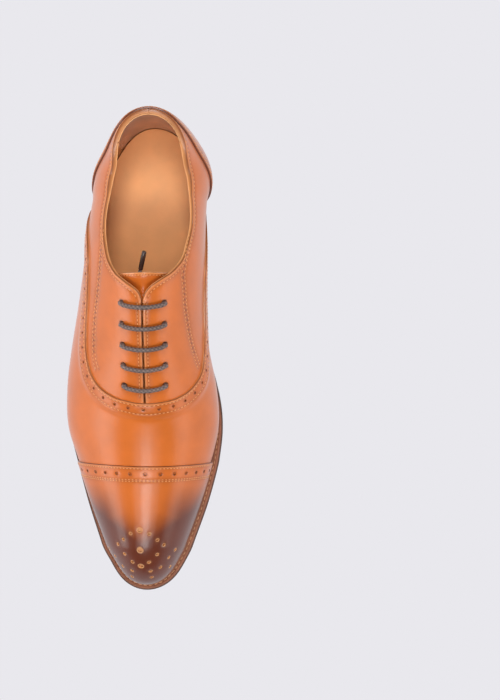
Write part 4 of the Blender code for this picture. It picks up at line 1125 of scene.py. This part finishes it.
heel_a = np.r_[np.linspace(HEEL_BREAST, HEEL_A, 20), np.linspace(HEEL_A, HEEL_END, 50)[1:]]
HAIR = 0.04             # gap that keeps two visible pieces apart
seat_low = float(feather_z(HEEL_BREAST)) - SEAT - TOUCH
lift = (seat_low - TOP_PIECE - TOUCH * LIFTS) / LIFTS
for k in range(LIFTS + 1):
    low = 0.0 if k == 0 else TOP_PIECE + HAIR + (k - 1) * (lift + TOUCH)
    high = TOP_PIECE if k == 0 else low + lift + TOUCH - HAIR
    inset = 2.2 * (1 - (low + high) / 2 / seat_low)
    top = under(SEAT + HAIR) if k == LIFTS else level(high)
    rim = under(SEAT + 0.25) if k == LIFTS else level(high - 0.2)
    node = "top_piece" if k == 0 else f"heel_lift_{k}"
    stack(node + "_visual", heel_a,
          [(inset + 0.5, level(low)), (inset + 0.1, level(low + 0.15)), (inset, level(low + 0.45)),
           (inset, rim), (inset + 0.2, top)], RUBBER if k == 0 else EDGE,
          (node,), [DARK * (0.85 + 0.1 * (k % 2))] * 5)

# ---- pieces that keep the CAD shape
SOCK_TONE = linear(240, 170, 108)
LIGHT = finish("pale backing", linear(206, 150, 104), 0.7, grain=0.2)
KEPT = (("eyelet", BRASS), ("facing_stay", STAY), ("vamp_lining", STAY), ("toe_puff", LIGHT),
        ("counter_stiffener", BOARD), ("insole_board", BOARD), ("cork_filler", CORK), ("shank", STEEL),
        ("heel_nail", STEEL))
SOCK_LOW, SOCK_HIGH = -2.9, -3.9
stack("sock_visual", whole_a,
      [(0.9, under(SOCK_LOW)), (0.1, under(SOCK_LOW)), (-0.35, under(SOCK_HIGH + 0.3)),
       (-0.2, under(SOCK_HIGH + 0.05)), (0.5, under(SOCK_HIGH)), (3.0, under(SOCK_HIGH + 0.12))],
      INNER, ("sock",), [SOCK_TONE * 0.8] * 3 + [SOCK_TONE] * 3,
      rim_reach=lambda a, s: 0.0 * a)
for node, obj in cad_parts.items():
    for start, material in KEPT:
        if node.startswith(start):
            for k in range(len(obj.data.materials)):
                obj.data.materials[k] = material


# ---- stage
def area_light(name, place, aim, size, power):
    data = bpy.data.lights.new(name, "AREA")
    data.shape = "RECTANGLE"
    data.size, data.size_y = size
    data.energy = power
    lamp = linked(name, data)
    lamp.location = place
    lamp.rotation_euler = (Vector(aim) - Vector(place)).to_track_quat("-Z", "Y").to_euler()


PAPER_TONE = (*linear(233, 232, 237), 1.0)
FLOOR_HALF, FLOOR_DROP = 3, 0.0008      # in metres; the drop keeps the floor clear of the heel
floor_mesh = bpy.data.meshes.new("floor")
floor_mesh.from_pydata([(x * FLOOR_HALF, y * FLOOR_HALF, 0) for x, y in ((-1, -1), (1, -1), (1, 1), (-1, 1))],
                       [], [(0, 1, 2, 3)])
paper = bpy.data.materials.new("plain floor")
paper.use_nodes = True
paper.node_tree.nodes.remove(paper.node_tree.nodes["Principled BSDF"])
glow = paper.node_tree.nodes.new("ShaderNodeEmission")
put(glow, Color=PAPER_TONE)
paper.node_tree.links.new(glow.outputs["Emission"],
                          paper.node_tree.nodes["Material Output"].inputs["Surface"])
floor_mesh.materials.append(paper)
floor = linked("floor", floor_mesh)
floor.location = (0, 0, -FLOOR_DROP)

world = bpy.data.worlds.new("soft room")
world.use_nodes = True
tree = world.node_tree
room = tree.nodes["Background"]
put(room, Color=(1.0, 1.0, 1.0, 1.0), Strength=0.20)
backdrop = tree.nodes.new("ShaderNodeBackground")
put(backdrop, Color=PAPER_TONE)
ray = tree.nodes.new("ShaderNodeLightPath")
seen = tree.nodes.new("ShaderNodeMixShader")
tree.links.new(ray.outputs["Is Camera Ray"], seen.inputs["Fac"])
tree.links.new(room.outputs["Background"], seen.inputs[1])
tree.links.new(backdrop.outputs["Background"], seen.inputs[2])
tree.links.new(seen.outputs["Shader"], tree.nodes["World Output"].inputs["Surface"])
bpy.context.scene.world = world
bpy.context.scene.view_settings.view_transform = "Standard"
# name, place, aim, size (all in m) and power in watts
LIGHTS = (("over", (0.03, 0.15, 1.25), (0.0, 0.0, 0.05), (0.6, 0.6), 3.2),
          ("inner", (0.02, 0.52, 1.0), (0.0, 0.02, 0.03), (0.3, 0.3), 3.9),
          ("front", (0.015, -0.60, 0.92), (0.0, -0.10, 0.05), (0.50, 0.14), 2.4),
          ("front wide", (0.015, -0.62, 0.94), (0.0, -0.10, 0.05), (1.30, 0.26), 3.8),
          ("left", (-0.95, 0.0, 0.20), (0.0, 0.0, 0.04), (1.4, 0.36), 6.2),
          ("right", (0.95, 0.0, 0.20), (0.0, 0.0, 0.04), (1.4, 0.36), 3.8))
for light in LIGHTS:
    area_light(*light)

camera_data = bpy.data.cameras.new("above")
camera_data.lens = 74.8
camera_data.sensor_width = 36.0
camera_data.sensor_fit = "AUTO"
camera = linked("above", camera_data)
camera.location = (0.0676, 0.0036, 0.950)
bpy.context.scene.camera = camera
